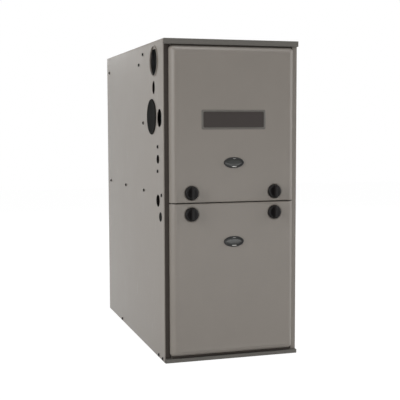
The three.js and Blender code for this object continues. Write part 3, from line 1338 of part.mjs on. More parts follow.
function blowerHousing() {
  const half = BLOWER_WIDTH / 2;
  const shell = cut(
    prism(scrollOutline(0, BLOWER_TOP), "x", -half, half),
    prism(scrollOutline(SCROLL_SHEET, BLOWER_TOP + 1), "x", -half + SCROLL_SHEET, half - SCROLL_SHEET),
  );
  const outletRim = cut(
    box([-half - 14, half + 14], [OUTLET_FRONT - 14, OUTLET_BACK + 14], [BLOWER_TOP - SCROLL_SHEET, BLOWER_TOP]),
    box([-half + 1, half - 1], [OUTLET_FRONT + 1, OUTLET_BACK - 1], [BLOWER_TOP - BEYOND, BLOWER_TOP + 1]),
  );
  const inletHole = rod("x", [BLOWER_Y, BLOWER_Z], -half - 1, half + 1, INLET_RADIUS + 1, 20);
  const inlet = (side) => {
    const face = side * half;
    const at = (away) => face + side * away;
    const profile = [
      [INLET_RADIUS, at(2)],
      [INLET_RADIUS + INLET_RIM, at(2)],
      [INLET_RADIUS + INLET_RIM, at(-0.5)],
      [INLET_RADIUS + 1.4, at(-0.5)],
      [INLET_RADIUS + 1.4, at(-INLET_LIP)],
      [INLET_RADIUS, at(-INLET_LIP)],
      [INLET_RADIUS, at(2)],
    ];
    return turned(profile, "x", [BLOWER_Y, BLOWER_Z], 20);
  };
  return join(cut(join(shell, outletRim), inletHole), inlet(-1), inlet(1));
}

add("blower_housing", blowerHousing(), galvanised);

// One forward-curved blade as a thin curved strip between the wheel's inner and outer radius.
function wheelBlade(turn) {
  const sweep = 0.11;
  const stations = [0, 0.55, 1];
  const at = (share, offset) => {
    const radius = WHEEL_INNER + (WHEEL_RADIUS - WHEEL_INNER) * share;
    const angle = turn + sweep * share * share + offset / radius;
    return [radius * Math.cos(angle), radius * Math.sin(angle)];
  };
  const shape = outline([...stations.map((s) => at(s, 0)), ...[...stations].reverse().map((s) => at(s, 1.1))]);
  return prism(shape, "x", -WHEEL_WIDTH / 2, WHEEL_WIDTH / 2);
}

function blowerWheel() {
  const half = WHEEL_WIDTH / 2;
  const blades = Array.from({ length: WHEEL_BLADES }, (_, i) => wheelBlade((2 * Math.PI * i) / WHEEL_BLADES));
  const endRing = (x) => ring("x", [0, 0], x, x + WHEEL_RING, WHEEL_RADIUS + 1.5, WHEEL_INNER - 1, WHEEL_BLADES);
  const plate = rod("x", [0, 0], HUB_X, HUB_X + HUB_PLATE, WHEEL_INNER + 4, WHEEL_BLADES);
  const hub = rod("x", [0, 0], HUB_X - HUB_LENGTH / 2, HUB_X + HUB_LENGTH / 2, HUB_RADIUS, 10);
  const bore = rod("x", [0, 0], HUB_X - HUB_LENGTH, HUB_X + HUB_LENGTH, SHAFT_RADIUS + RUNNING, 10);
  return cut(join(blades, endRing(-half), endRing(half - WHEEL_RING), plate, hub), bore);
}

const BLOWER_AXIS = [0, BLOWER_Y, BLOWER_Z];
add("blower_wheel", blowerWheel(), galvanised, BLOWER_AXIS);

const SHAFT_IN_MOTOR = 18;
add(
  "blower_shaft",
  rod("x", [0, 0], HUB_X - HUB_LENGTH / 2 - 8, MOTOR_LEFT + SHAFT_IN_MOTOR, SHAFT_RADIUS, 10),
  stainless,
  BLOWER_AXIS,
);

function blowerMotor() {
  const profile = [
    [SHAFT_RADIUS + RUNNING, MOTOR_LEFT],
    [22, MOTOR_LEFT],
    [26, MOTOR_LEFT + 5],
    [MOTOR_RADIUS - 10, MOTOR_LEFT + 8],
    [MOTOR_RADIUS - 2, MOTOR_LEFT + 16],
    [MOTOR_RADIUS - 2, MOTOR_BAND_LEFT - 12],
    [MOTOR_RADIUS, MOTOR_BAND_LEFT - 10],
    [MOTOR_RADIUS, MOTOR_RIGHT - 8],
    [MOTOR_RADIUS - 8, MOTOR_RIGHT],
    [0, MOTOR_RIGHT],
    [0, MOTOR_LEFT + SHAFT_IN_MOTOR + 2],
    [SHAFT_RADIUS + RUNNING, MOTOR_LEFT + SHAFT_IN_MOTOR + 2],
    [SHAFT_RADIUS + RUNNING, MOTOR_LEFT],
  ];
  return turned(profile, "x", [0, 0]);
}

add("blower_motor", blowerMotor(), blackPlastic, BLOWER_AXIS);

function motorMount() {
  const bandRadius = MOTOR_RADIUS + SEAT;
  const outer = bandRadius + MOTOR_BAND_SHEET;
  const band = ring("x", [0, 0], MOTOR_BAND_LEFT, MOTOR_BAND_LEFT + MOTOR_BAND_WIDTH, outer, bandRadius, 16);
  const armX = BLOWER_WIDTH / 2 + 2 + SEAT;
  const strap = outline([
    [MOTOR_BAND_LEFT, bandRadius + 0.8],
    [armX + MOTOR_BAND_SHEET, bandRadius + 0.8],
    [armX + MOTOR_BAND_SHEET, MOTOR_ARM_REACH],
    [BLOWER_WIDTH / 2 + SEAT, MOTOR_ARM_REACH],
    [BLOWER_WIDTH / 2 + SEAT, INLET_RADIUS + INLET_RIM + 3],
    [armX, INLET_RADIUS + INLET_RIM + 2],
    [armX, bandRadius + 0.8 + MOTOR_BAND_SHEET],
    [MOTOR_BAND_LEFT, bandRadius + 0.8 + MOTOR_BAND_SHEET],
  ]);
  const arms = Array.from({ length: MOTOR_ARMS }, (_, i) => {
    const pulled = new THREE.ExtrudeGeometry(strap, { depth: MOTOR_ARM_WIDTH, bevelEnabled: false });
    standAlong(pulled, "y", -MOTOR_ARM_WIDTH / 2, MOTOR_ARM_WIDTH / 2);
    return solid(pulled.rotateX((2 * Math.PI * i) / MOTOR_ARMS));
  });
  return join(band, arms);
}

add("motor_mount", motorMount(), galvanised, BLOWER_AXIS);

// ---- Electrical parts

function controlPanel() {
  const top = CENTRE_RAIL_BOTTOM - SEAT;
  const section = [
    [BEHIND_FLANGE + 8, top],
    [CONTROL_PANEL_Y, top],
    [CONTROL_PANEL_Y, CONTROL_PANEL_BOTTOM],
  ].reverse();
  const half = CONTROL_PANEL_WIDTH / 2;
  const sheet = prism(folded(section), "x", -half, half);
  const flange = (x) =>
    box([x, x + SHEET], [CONTROL_PANEL_Y - 12, CONTROL_PANEL_Y], [CONTROL_PANEL_BOTTOM, CENTRE_RAIL_BOTTOM - 20]);
  return join(sheet, flange(-half), flange(half - SHEET));
}

add("control_panel", controlPanel(), galvanised);

function controlBoard() {
  const back = CONTROL_PANEL_Y - SHEET - SEAT;
  const plateBack = back - BOARD_STANDOFF;
  const front = plateBack - BOARD_THICKNESS;
  const plate = box([BOARD_LEFT, BOARD_RIGHT], [front, plateBack], [BOARD_BOTTOM, BOARD_TOP]);
  const standoffs = [BOARD_LEFT + 6, BOARD_RIGHT - 6].flatMap((x) =>
    [BOARD_BOTTOM + 6, BOARD_TOP - 6].map((z) => rod("y", [x, z], plateBack - 1, back, 3, 6)),
  );
  const part = (x, z, width, height, rise) => box([x, x + width], [front - rise, front + 0.5], [z, z + height]);
  const relays = [0, 1, 2, 3].map((i) => part(BOARD_LEFT + 14 + i * 26, BOARD_BOTTOM + 16, 19, 16, 16));
  const terminals = part(BOARD_LEFT + 20, BOARD_TOP - 22, 60, 12, 14);
  const plugs = part(BOARD_RIGHT - 34, BOARD_BOTTOM + 14, 24, 34, 12);
  const processor = part(BOARD_LEFT + 56, BOARD_BOTTOM + 52, 34, 22, 4);
  const capacitor = rod("y", [BOARD_RIGHT - 22, BOARD_BOTTOM + 72], front - 22, front + 0.5, 9, 10);
  const lamp = rod("y", [0, LOWER_SIGHT_Z], front - 6, front + 0.5, 2.5, 6);
  return join(plate, standoffs, relays, terminals, plugs, processor, capacitor, lamp);
}

add("control_board", controlBoard(), boardGreen);

function transformer() {
  const back = CONTROL_PANEL_Y - SHEET - SEAT;
  const [x, z] = [TRANSFORMER_X, TRANSFORMER_Z];
  const feet = box([x - 36, x + 36], [back - 1.6, back], [z - 14, z + 14]);
  const core = box([x - 26, x + 26], [back - 34, back - 1], [z - 22, z + 22]);
  const bobbin = softPrism(roundedRectangle(x - 15, x + 15, z - 34, z + 34, 5), "y", back - 31, back - 5, 2);
  return join(feet, core, bobbin);
}

add("transformer", transformer(), darkTaupe);

function doorSwitch() {
  const under = CENTRE_RAIL_BOTTOM - SEAT;
  const body = box([SWITCH_X - 8, SWITCH_X + 8], [SWITCH_FRONT, SWITCH_BACK], [SWITCH_Z - 14, SWITCH_Z + 14]);
  const collar = rod("y", [SWITCH_X, SWITCH_Z], SWITCH_FRONT - 3, SWITCH_FRONT + 1, PLUNGER_RADIUS + 3, 10);
  const bracket = box([SWITCH_X - 6, SWITCH_X + 6], [SWITCH_FRONT + 6, SWITCH_BACK - 6], [SWITCH_Z + 13, under]);
  const bore = rod("y", [SWITCH_X, SWITCH_Z], SWITCH_FRONT - BEYOND, SWITCH_FRONT + 18, PLUNGER_RADIUS + RUNNING);
  return cut(join(body, collar, bracket), bore);
}

add("door_switch", doorSwitch(), blackPlastic);
add(
  "door_switch_plunger",
  rod("y", [SWITCH_X, SWITCH_Z], 0, SWITCH_FRONT + 2 + 2 * PLUNGER_TRAVEL, PLUNGER_RADIUS),
  whitePlastic,
);

function junctionBox() {
  const wall = -FITTED_X;
  const [y, z] = [WIRE_HOLE.y, WIRE_HOLE.z];
  const [halfY, halfZ] = [JUNCTION_WIDTH / 2, JUNCTION_HEIGHT / 2];
  const body = box([wall, wall + JUNCTION_DEPTH - 2], [y - halfY, y + halfY], [z - halfZ, z + halfZ]);
  const lid = box([wall + JUNCTION_DEPTH - 3, wall + JUNCTION_DEPTH], [y - halfY - 1.5, y + halfY + 1.5], [z - halfZ - 1.5, z + halfZ + 1.5]);
  const wireWay = rod("x", [y, z], wall - 1, wall + JUNCTION_DEPTH - 8, WIRE_HOLE.radius, 10);
  return cut(join(body, lid), wireWay);
}

add("junction_box", junctionBox(), galvanised);

// The part's origin is under the middle of its whole depth, from the knobs' grips to the casing's back.
const KNOB_FRONT = KNOB_SEAT_Y - KNOB_SKIRT - KNOB_GRIP_RISE;
furnace.position.y = -(CASING_DEPTH + KNOB_FRONT) / 2;

export default furnace;
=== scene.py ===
import json
import math

import bmesh
import bpy
from bpy.props import FloatProperty, FloatVectorProperty, IntProperty, PointerProperty
from mathutils import Matrix, Vector

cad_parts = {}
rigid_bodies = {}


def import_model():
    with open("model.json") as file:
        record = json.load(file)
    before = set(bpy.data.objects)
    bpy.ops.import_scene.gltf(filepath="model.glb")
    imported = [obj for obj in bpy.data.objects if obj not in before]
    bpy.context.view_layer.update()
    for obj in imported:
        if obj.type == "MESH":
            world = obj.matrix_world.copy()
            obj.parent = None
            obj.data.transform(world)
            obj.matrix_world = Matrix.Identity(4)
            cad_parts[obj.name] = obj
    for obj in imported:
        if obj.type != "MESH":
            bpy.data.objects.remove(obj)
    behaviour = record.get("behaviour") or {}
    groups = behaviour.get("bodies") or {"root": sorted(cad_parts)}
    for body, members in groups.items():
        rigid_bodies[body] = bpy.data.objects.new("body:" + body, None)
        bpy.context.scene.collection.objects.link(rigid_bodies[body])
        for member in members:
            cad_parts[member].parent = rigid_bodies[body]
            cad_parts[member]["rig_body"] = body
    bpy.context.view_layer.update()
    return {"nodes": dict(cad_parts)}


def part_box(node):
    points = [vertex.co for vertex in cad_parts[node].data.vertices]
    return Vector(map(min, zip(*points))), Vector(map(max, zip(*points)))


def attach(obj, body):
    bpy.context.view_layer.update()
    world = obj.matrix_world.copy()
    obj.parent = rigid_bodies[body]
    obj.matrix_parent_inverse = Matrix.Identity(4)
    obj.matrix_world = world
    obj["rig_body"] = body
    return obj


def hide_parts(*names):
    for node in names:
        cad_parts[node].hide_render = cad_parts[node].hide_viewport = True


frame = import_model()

bl_info = {
    "name": "Forced Air Gas Furnace",
    "version": (1, 0, 0),
    "blender": (4, 5, 0),
    "location": "View3D > Sidebar > Furnace",
    "description": "Dresses an upflow gas furnace: cabinet, doors, burners, heat exchanger and blower",
    "category": "Object",
}

MM = 0.001
SEAT = 0.3 * MM  # left between a piece and what carries it
SHEET = 1.2 * MM


def at(node):
    """The middle of a CAD node's box."""
    low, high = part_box(node)
    return (low + high) / 2


def span(node):
    """The lowest and highest value of a CAD node along X, Y and Z."""
    low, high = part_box(node)
    return tuple(zip(low, high))


def srgb(red, green, blue):
    """A colour read as 0 to 255 on screen, as the linear colour that shaders use."""
    def linear(part):
        part /= 255
        return part / 12.92 if part <= 0.04045 else ((part + 0.055) / 1.055) ** 2.4

    return linear(red), linear(green), linear(blue)


# ---- Sizes and colours that a user would change


def length(name, description, millimetres):
    return FloatProperty(
        name=name, description=description, default=millimetres * MM, unit="LENGTH", precision=4
    )


def colour(name, description, rgb):
    return FloatVectorProperty(
        name=name, description=description, default=srgb(*rgb), subtype="COLOR", size=3, min=0, max=1
    )


class FinishColours(bpy.types.PropertyGroup):
    """Colours of the finishes."""

    cabinet: colour("Cabinet", "Powder coat on the cabinet and its doors", (126, 120, 113))
    rail: colour("Rail", "Powder coat on the rails across the front", (92, 89, 84))
    # Painted shade: the dark colour of the strips beside the doors, the doors' hems and the centre rail, for
    # the shadowed gaps round the doors.
    gasket: colour("Gasket", "Foam tape around the door opening", (58, 53, 49))
    knob: colour("Knob", "Moulded plastic of the door knobs", (20, 18, 18))
    plug: colour("Plug", "Moulded plastic of the pipe hole's plug", (33, 33, 32))
    plate: colour("Name plate", "Field of the bare name plate", (56, 51, 49))
    lens: colour("Sight glass", "Lens of the sight glasses", (44, 45, 43))
    galvanised: colour("Galvanised steel", "Zinc on the inner sheet metal", (178, 182, 184))
    insulation: colour("Insulation facing", "Foil on the door liners", (196, 199, 200))


class DoorSizes(bpy.types.PropertyGroup):
    """Sizes of the two pressed doors."""

    roll: length("Roll", "Width of the pressed border", 22)
    crest: length("Crest", "Width of the slope up to the border's crest", 13)
    sink: length("Sink", "How far the face lies behind the crest", 0.5)
    corner: length("Corner", "Corner radius in the door's plane", 9)
    fold: length("Fold", "Radius of the fold where the doors meet", 1.4)
    seam: length("Seam", "Paint edge left free on each side of the line where the doors meet", 1.4)
    edge: length("Edge", "Straight part of the edge next to the casing", 2.5)
    dish: length("Dish", "Radius of the dish around a knob", 21)
    dish_depth: length("Dish depth", "Depth of the dish around a knob", 2.2)
    dish_slope: length("Dish slope", "Width of the dish's sloping edge", 4)
    sheet: length("Sheet", "Thickness of the door's steel", 1)
    side_return: length("Side return", "Flange turned in behind each side", 22)
    end_return: length("End return", "Flange turned in behind each end", 16)


class KnobSizes(bpy.types.PropertyGroup):
    """Sizes of a quarter-turn door knob."""

    skirt: length("Skirt", "Height of the round skirt", 7)
    grip_width: length("Grip width", "Width of the grip at its root", 9)
    grip_length: length("Grip length", "Length of the grip", 34)
    shaft: length("Shaft", "Radius of the shaft", 3.5)
    cam_length: length("Cam length", "Length of the cam bar", 22)
    cam_width: length("Cam width", "Width of the cam bar", 6.4)
    cam_thickness: length("Cam thickness", "Thickness of the cam bar", 3)


class WheelSizes(bpy.types.PropertyGroup):
    """Sizes of the blower wheel."""

    blades: IntProperty(name="Blades", description="Blades around the blower wheel", default=42, min=12)
    blade_depth: length("Blade depth", "Radial depth of a blade", 20)
    blade_sheet: length("Blade sheet", "Thickness of a blade", 0.8)
    ring: length("End ring", "Width of the rings that close the wheel's ends", 4)


class ScrewSizes(bpy.types.PropertyGroup):
    """Sizes of a hexagon washer head sheet metal screw."""

    head: length("Head", "Radius across the corners of the head", 3.6)
    height: length("Height", "Height of the head", 2.4)
    washer: length("Washer", "Radius of the washer under the head", 5)


# ---- Finishes


class Value:
    """A number that varies over a surface. Arithmetic on it adds Math nodes to its recipe."""

    def __init__(self, recipe, socket):
        self.recipe = recipe
        self.socket = socket

    def _with(self, operation, first, second=0.0):
        made = self.recipe.node("ShaderNodeMath", {"operation": operation}, [first, second])
        return Value(self.recipe, made.outputs[0])

    def __add__(self, other):
        return self._with("ADD", self, other)

    __radd__ = __add__

    def __sub__(self, other):
        return self._with("SUBTRACT", self, other)

    def __rsub__(self, other):
        return self._with("SUBTRACT", other, self)

    def __mul__(self, other):
        return self._with("MULTIPLY", self, other)

    __rmul__ = __mul__

    def __truediv__(self, other):
        return self._with("DIVIDE", self, other)

    def __gt__(self, other):
        return self._with("GREATER_THAN", self, other)

    def clamped(self):
        """The value kept between 0 and 1."""
        made = self.recipe.node("ShaderNodeClamp", {}, [self, 0.0, 1.0])
        return Value(self.recipe, made.outputs[0])

    def stretched(self, low, high):
        """The value with low to high spread over 0 to 1."""
        return ((self - low) / (high - low)).clamped()


class Recipe:
    """One procedural material on Object coordinates."""

    def __init__(self, name):
        self.material = bpy.data.materials.new(name)
        self.material.use_nodes = True
        self.tree = self.material.node_tree
        self.shader = self.tree.nodes["Principled BSDF"]
        self.place = self.node("ShaderNodeTexCoord").outputs["Object"]

    def node(self, kind, settings=None, inputs=()):
        """A node with its settings made first and then its inputs, by place or by name."""
        made = self.tree.nodes.new(kind)
        for key, setting in (settings or {}).items():
            setattr(made, key, setting)
        pairs = inputs.items() if isinstance(inputs, dict) else enumerate(inputs)
        for key, given in pairs:
            self.feed(made.inputs[key], given)
        return made

    def feed(self, socket, given):
        source = given.socket if isinstance(given, Value) else given
        if isinstance(source, bpy.types.NodeSocket):
            self.tree.links.new(source, socket)
        else:
            socket.default_value = given

    def stretched_place(self, x=1.0, y=1.0, z=1.0):
        """Object coordinates stretched along the axes, for brushed and rolled finishes."""
        made = self.node("ShaderNodeMapping", {}, {"Vector": self.place, "Scale": (x, y, z)})
        return made.outputs[0]

    def noise(self, size, detail=2.0, place=None):
        """Soft noise whose patches are about the given size in metres."""
        inputs = {"Vector": place or self.place, "Scale": 1 / size, "Detail": detail}
        return Value(self, self.node("ShaderNodeTexNoise", {}, inputs).outputs["Fac"])

    def cells(self, size, output="Color", feature="F1"):
        """Irregular cells of about the given size in metres."""
        inputs = {"Vector": self.place, "Scale": 1 / size}
        made = self.node("ShaderNodeTexVoronoi", {"feature": feature}, inputs)
        socket = made.outputs[output]
        if output == "Color":
            socket = self.node("ShaderNodeSeparateColor", {}, [socket]).outputs[0]
        return Value(self, socket)

    def mixed(self, share, first, second):
        """A colour between two colours, by a share from 0 to 1."""
        made = self.node("ShaderNodeMix", {"data_type": "RGBA"}, {0: share})
        ends = [socket for socket in made.inputs if socket.type == "RGBA"]
        for socket, given in zip(ends, (first, second)):
            whole = given if isinstance(given, bpy.types.NodeSocket) else (*given, 1.0)
            self.feed(socket, whole)
        return next(socket for socket in made.outputs if socket.type == "RGBA")

    def surface(self, base, roughness, metallic=0.0, bump=(), specular=0.5, coat=0.0):
        """Feeds the shader. bump is pairs of a height value and its depth in metres."""
        self.feed(self.shader.inputs["Base Color"], base)
        self.feed(self.shader.inputs["Roughness"], roughness)
        self.shader.inputs["Metallic"].default_value = metallic
        self.shader.inputs["Specular IOR Level"].default_value = specular
        self.shader.inputs["Coat Weight"].default_value = coat
        normal = None
        for height, depth in bump:
            inputs = {"Height": height, "Distance": depth, "Strength": 1.0}
            if normal is not None:
                inputs["Normal"] = normal
            normal = self.node("ShaderNodeBump", {}, inputs).outputs[0]
        if normal is not None:
            self.feed(self.shader.inputs["Normal"], normal)
        return self.material


def shade(rgb, factor):
    """A colour made darker or lighter."""
    return tuple(min(1.0, part * factor) for part in rgb)


def powder_coat(name, rgb, gloss=0.38):
    """Satin powder coat: fine orange peel, a little cloudiness and faint handling marks."""
    recipe = Recipe(name)
    peel = recipe.noise(1.6 * MM, 2)
    cloud = recipe.noise(90 * MM, 4)
    speck = recipe.noise(0.5 * MM, 1)
    marks = recipe.noise(14 * MM, 6, recipe.stretched_place(1, 1, 0.25)).stretched(0.62, 0.8)
    tone = (cloud * 0.75 + speck * 0.25).clamped()
    base = recipe.mixed(tone, shade(rgb, 0.94), shade(rgb, 1.06))
    base = recipe.mixed(marks * 0.1, base, shade(rgb, 1.3))
    return recipe.surface(base, gloss + cloud * 0.08 - marks * 0.08, 0.0, [(peel, 0.03 * MM)], 0.4)


def zinc_coat(name, rgb):
    """Galvanised sheet with its crystal spangle."""
    recipe = Recipe(name)
    spangle = recipe.cells(9 * MM)
    fine = recipe.noise(1.2 * MM, 3)
    drawn = recipe.noise(3 * MM, 3, recipe.stretched_place(1, 1, 0.04))
    tone = (spangle * 0.6 + drawn * 0.4).clamped()
    base = recipe.mixed(tone, shade(rgb, 0.72), shade(rgb, 1.12))
    return recipe.surface(base, 0.36 + spangle * 0.16 + fine * 0.06, 0.85, [(fine, 0.008 * MM)])


def aluminised_steel(name):
    """Matt aluminised sheet, mottled and slightly scorched in patches."""
    recipe = Recipe(name)
    mottle = recipe.noise(7 * MM, 6)
    scorch = recipe.noise(70 * MM, 3).stretched(0.55, 0.8)
    base = recipe.mixed(mottle, srgb(140, 140, 136), srgb(190, 190, 186))
    base = recipe.mixed(scorch * 0.5, base, srgb(126, 106, 84))
    return recipe.surface(base, 0.42 + mottle * 0.2, 0.8, [(mottle, 0.02 * MM)])


def brushed_steel(name):
    """Stainless sheet brushed along X."""
    recipe = Recipe(name)
    brushed = recipe.noise(0.6 * MM, 3, recipe.stretched_place(0.02, 1, 1))
    smudge = recipe.noise(40 * MM, 3)
    base = recipe.mixed(brushed, srgb(165, 167, 168), srgb(214, 216, 217))
    return recipe.surface(base, 0.24 + brushed * 0.14 + smudge * 0.08, 0.95, [(brushed, 0.006 * MM)])


def cast_metal(name):
    """Sand-cast aluminium."""
    recipe = Recipe(name)
    grit = recipe.noise(0.9 * MM, 4)
    patch = recipe.noise(18 * MM, 3)
    base = recipe.mixed(patch, srgb(150, 152, 154), srgb(190, 192, 193))
    return recipe.surface(base, 0.5 + grit * 0.15, 0.75, [(grit, 0.12 * MM)])


def moulded_plastic(name, rgb, gloss=0.42, grain=0.7, specular=0.5):
    """Moulded plastic with a fine spark-eroded grain and a few scuffs."""
    recipe = Recipe(name)
    spark = recipe.noise(grain * MM, 2)
    patch = recipe.noise(25 * MM, 4)
    scuff = recipe.noise(6 * MM, 6, recipe.stretched_place(1, 1, 3)).stretched(0.64, 0.8)
    base = recipe.mixed(patch, shade(rgb, 0.85), shade(rgb, 1.2))
    base = recipe.mixed(scuff * 0.12, base, tuple(part * 1.3 + 0.03 for part in rgb))
    return recipe.surface(base, gloss + spark * 0.12 - patch * 0.06, 0.0, [(spark, 0.03 * MM)], specular)


def foil_facing(name, rgb):
    """Crinkled foil with a square reinforcing scrim showing through."""
    recipe = Recipe(name)
    crinkle = recipe.cells(11 * MM, "Distance", "DISTANCE_TO_EDGE")
    soft = recipe.noise(5 * MM, 4)
    base = recipe.mixed(soft, shade(rgb, 0.82), shade(rgb, 1.08))
    return recipe.surface(base, 0.28 + soft * 0.14, 0.85, [(crinkle, 1.2 * MM), (soft, 0.4 * MM)])


def black_iron(name):
    """Painted black iron pipe with a rolled skin."""
    recipe = Recipe(name)
    scale = recipe.noise(3 * MM, 5)
    base = recipe.mixed(scale, srgb(34, 33, 33), srgb(62, 60, 58))
    return recipe.surface(base, 0.45 + scale * 0.2, 0.3, [(scale, 0.08 * MM)])


def hose_rubber(name, rgb, specular=0.4):
    """Rubber, silicone or foam with a soft bloom."""
    recipe = Recipe(name)
    bloom = recipe.noise(12 * MM, 5)
    fine = recipe.noise(0.8 * MM, 2)
    base = recipe.mixed(bloom, shade(rgb, 0.8), shade(rgb, 1.25))
    return recipe.surface(base, 0.6 + bloom * 0.15, 0.0, [(fine, 0.03 * MM)], specular)


def circuit_board(name):
    """Green solder mask over copper tracks."""
    recipe = Recipe(name)
    tracks = recipe.cells(5 * MM, "Distance", "DISTANCE_TO_EDGE")
    line = (tracks > 0.06) * 1.0
    fine = recipe.noise(0.7 * MM, 2)
    base = recipe.mixed(line, srgb(88, 150, 96), srgb(32, 92, 56))
    return recipe.surface(base, 0.34 + fine * 0.1, 0.0, [(line, -0.03 * MM)], coat=0.3)


def ceramic(name):
    """Unglazed ceramic with pale stains."""
    recipe = Recipe(name)
    grit = recipe.noise(0.6 * MM, 3)
    stain = recipe.noise(9 * MM, 3)
    base = recipe.mixed(stain, srgb(206, 198, 180), srgb(236, 231, 219))
    return recipe.surface(base, 0.62 + grit * 0.15, 0.0, [(grit, 0.05 * MM)])


def sight_lens(name, rgb):
    """Toughened glass seen against the dark inside."""
    recipe = Recipe(name)
    ripple = recipe.noise(12 * MM, 2)
    film = recipe.noise(5 * MM, 4)
    base = recipe.mixed(film, shade(rgb, 0.9), shade(rgb, 1.12))
    return recipe.surface(base, 0.16 + film * 0.1, 0.0, [(ripple, 0.05 * MM)], 0.3)


def plate_field(name, rgb):
    """Brushed and lacquered metal of the bare name plate."""
    recipe = Recipe(name)
    brushed = recipe.noise(0.5 * MM, 3, recipe.stretched_place(0.03, 1, 1))
    patch = recipe.noise(30 * MM, 3)
    base = recipe.mixed((brushed * 0.5 + patch * 0.5).clamped(), shade(rgb, 0.86), shade(rgb, 1.14))
    return recipe.surface(base, 0.4 + brushed * 0.12, 0.2, [(brushed, 0.004 * MM)], 0.2)


def finishes(colours):
    """All the materials, by the words that the pieces use."""
    return {
        "cabinet": powder_coat("cabinet powder coat", colours.cabinet),
        "rail": powder_coat("rail powder coat", colours.rail, 0.5),
        "zinc": zinc_coat("galvanised steel", colours.galvanised),
        "aluminised": aluminised_steel("aluminised steel"),
        "stainless": brushed_steel("stainless steel"),
        "cast": cast_metal("cast aluminium"),
        "knob": moulded_plastic("knob plastic", colours.knob, 0.42, 0.5, 0.16),
        "black": moulded_plastic("black plastic", srgb(28, 28, 28), 0.46, 0.7, 0.3),
        # Painted shade: the dark finish of the strips, hems and centre rail in the gaps round the doors.
        "gasket": hose_rubber("painted gap shade", colours.gasket, 0.15),
        # The cap finish also colours the disc behind the lifted knock-out, where it is painted shade.
        "cap": moulded_plastic("cap plastic", srgb(16, 14, 13), 0.9, 0.9, 0.0),
        "bolt": moulded_plastic("black oxide", srgb(22, 20, 19), 0.5, 0.4, 0.2),
        "grey": moulded_plastic("grey plastic", srgb(74, 78, 77), 0.5),
        "plug": moulded_plastic("plug plastic", colours.plug, 0.85, 0.9, 0.02),
        "white": moulded_plastic("white plastic", srgb(226, 224, 216), 0.38),
        "red": moulded_plastic("red plastic", srgb(176, 36, 28), 0.4),
        "motor": powder_coat("motor enamel", srgb(38, 38, 40), 0.38),
        "foil": foil_facing("insulation foil", colours.insulation),
        "iron": black_iron("black iron pipe"),
        "rubber": hose_rubber("black rubber", srgb(30, 30, 30)),
        "silicone": hose_rubber("red silicone", srgb(150, 44, 32)),
        "board": circuit_board("circuit board"),
        "ceramic": ceramic("ceramic"),
        # Pale tabs on the sight glasses: painted highlight for the glints at their head and foot.
        "clip": moulded_plastic("sight glass glint", srgb(205, 203, 198), 0.3),
        "lens": sight_lens("sight glass lens", colours.lens),
        "plate": plate_field("name plate field", colours.plate),
    }


FINISH = {}


# ---- Making meshes

SHARP = 32  # degrees between two faces, past which their edge stays sharp


def mark_sharp(mesh, degrees):
    """Smooth shading that breaks at the edges sharper than the angle."""
    work = bmesh.new()
    work.from_mesh(mesh)
    for edge in work.edges:
        edge.smooth = len(edge.link_faces) == 2 and edge.calc_face_angle(0) < math.radians(degrees)
    for face in work.faces:
        face.smooth = True
    work.to_mesh(mesh)
    work.free()


def placed(name, mesh, body, nodes, sharp):
    """Puts a finished mesh on its body, where it stands for CAD nodes."""
    mark_sharp(mesh, sharp)
    piece = bpy.data.objects.new(name, mesh)
    bpy.context.scene.collection.objects.link(piece)
    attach(piece, body)
    if nodes:
        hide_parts(*nodes)
    return piece


def make_piece(name, work, finish, body, nodes=(), sharp=SHARP):
    """Turns a bmesh into a piece with one finish, or with several in a list."""
    mesh = bpy.data.meshes.new(name)
    work.to_mesh(mesh)
    work.free()
    for key in [finish] if isinstance(finish, str) else finish:
        mesh.materials.append(FINISH[key])
    return placed(name, mesh, body, nodes, sharp)


def body_named(node):
    return frame["nodes"][node]["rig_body"]


def settled(piece):
    """The piece's mesh with its modifiers worked out. The working object is removed."""
    graph = bpy.context.evaluated_depsgraph_get()
    mesh = bpy.data.meshes.new_from_object(piece.evaluated_get(graph))
    piece.modifiers.clear()
    bpy.data.objects.remove(piece)
    return mesh


def working(name, work):
    """A working object for modifiers."""
    mesh = bpy.data.meshes.new(name)
    work.to_mesh(mesh)
    work.free()
    piece = bpy.data.objects.new(name, mesh)
    bpy.context.scene.collection.objects.link(piece)
    return piece


def reopened(mesh):
    """A bmesh with a mesh's faces. The mesh is removed."""
    work = bmesh.new()
    work.from_mesh(mesh)
    bpy.data.meshes.remove(mesh)
    return work


def carved(work, cutters):
    """The solid less each cutter, as a bmesh."""
    piece = working("carving", work)
    tools = [working("cutter", cutter) for cutter in cutters]
    for tool in tools:
        modifier = piece.modifiers.new("cut", "BOOLEAN")
        modifier.operation = "DIFFERENCE"
        modifier.solver = "EXACT"
        modifier.object = tool
    mesh = settled(piece)
    for tool in tools:
        bpy.data.objects.remove(tool)
    return reopened(mesh)


def joined(*works):
    """Several bmeshes as one, each a shell of its own."""
    whole = works[0]
    for work in works[1:]:
        mesh = bpy.data.meshes.new("joining")
        work.to_mesh(mesh)
        work.free()
        whole.from_mesh(mesh)
        bpy.data.meshes.remove(mesh)
    return whole


def outward(work):
    """Merges doubled points and turns the faces outwards."""
    bmesh.ops.remove_doubles(work, verts=work.verts, dist=0.001 * MM)
    bmesh.ops.recalc_face_normals(work, faces=work.faces)
    return work


AXES = {
    "x": Matrix(((0, 0, 1), (1, 0, 0), (0, 1, 0))),
    "y": Matrix(((1, 0, 0), (0, 0, 1), (0, 1, 0))),
    "z": Matrix(((1, 0, 0), (0, 1, 0), (0, 0, 1))),
}
POLE = 0.01 * MM  # radius of a ring that closes on the axis


def lofted(rings, axis, closed_ends=True):
    """Skins rings of points (u, v, along). u, v are y, z about "x", x, z about "y" and x, y about "z"."""
    work = bmesh.new()
    turn = AXES[axis]
    rows = [[work.verts.new(turn @ Vector(point)) for point in ring] for ring in rings]
    count = len(rings[0])
    for lower, upper in zip(rows, rows[1:]):
        for i in range(count):
            j = (i + 1) % count
            work.faces.new((lower[i], lower[j], upper[j], upper[i]))
    if closed_ends:
        work.faces.new(rows[0][::-1])
        work.faces.new(rows[-1])
    return outward(work)


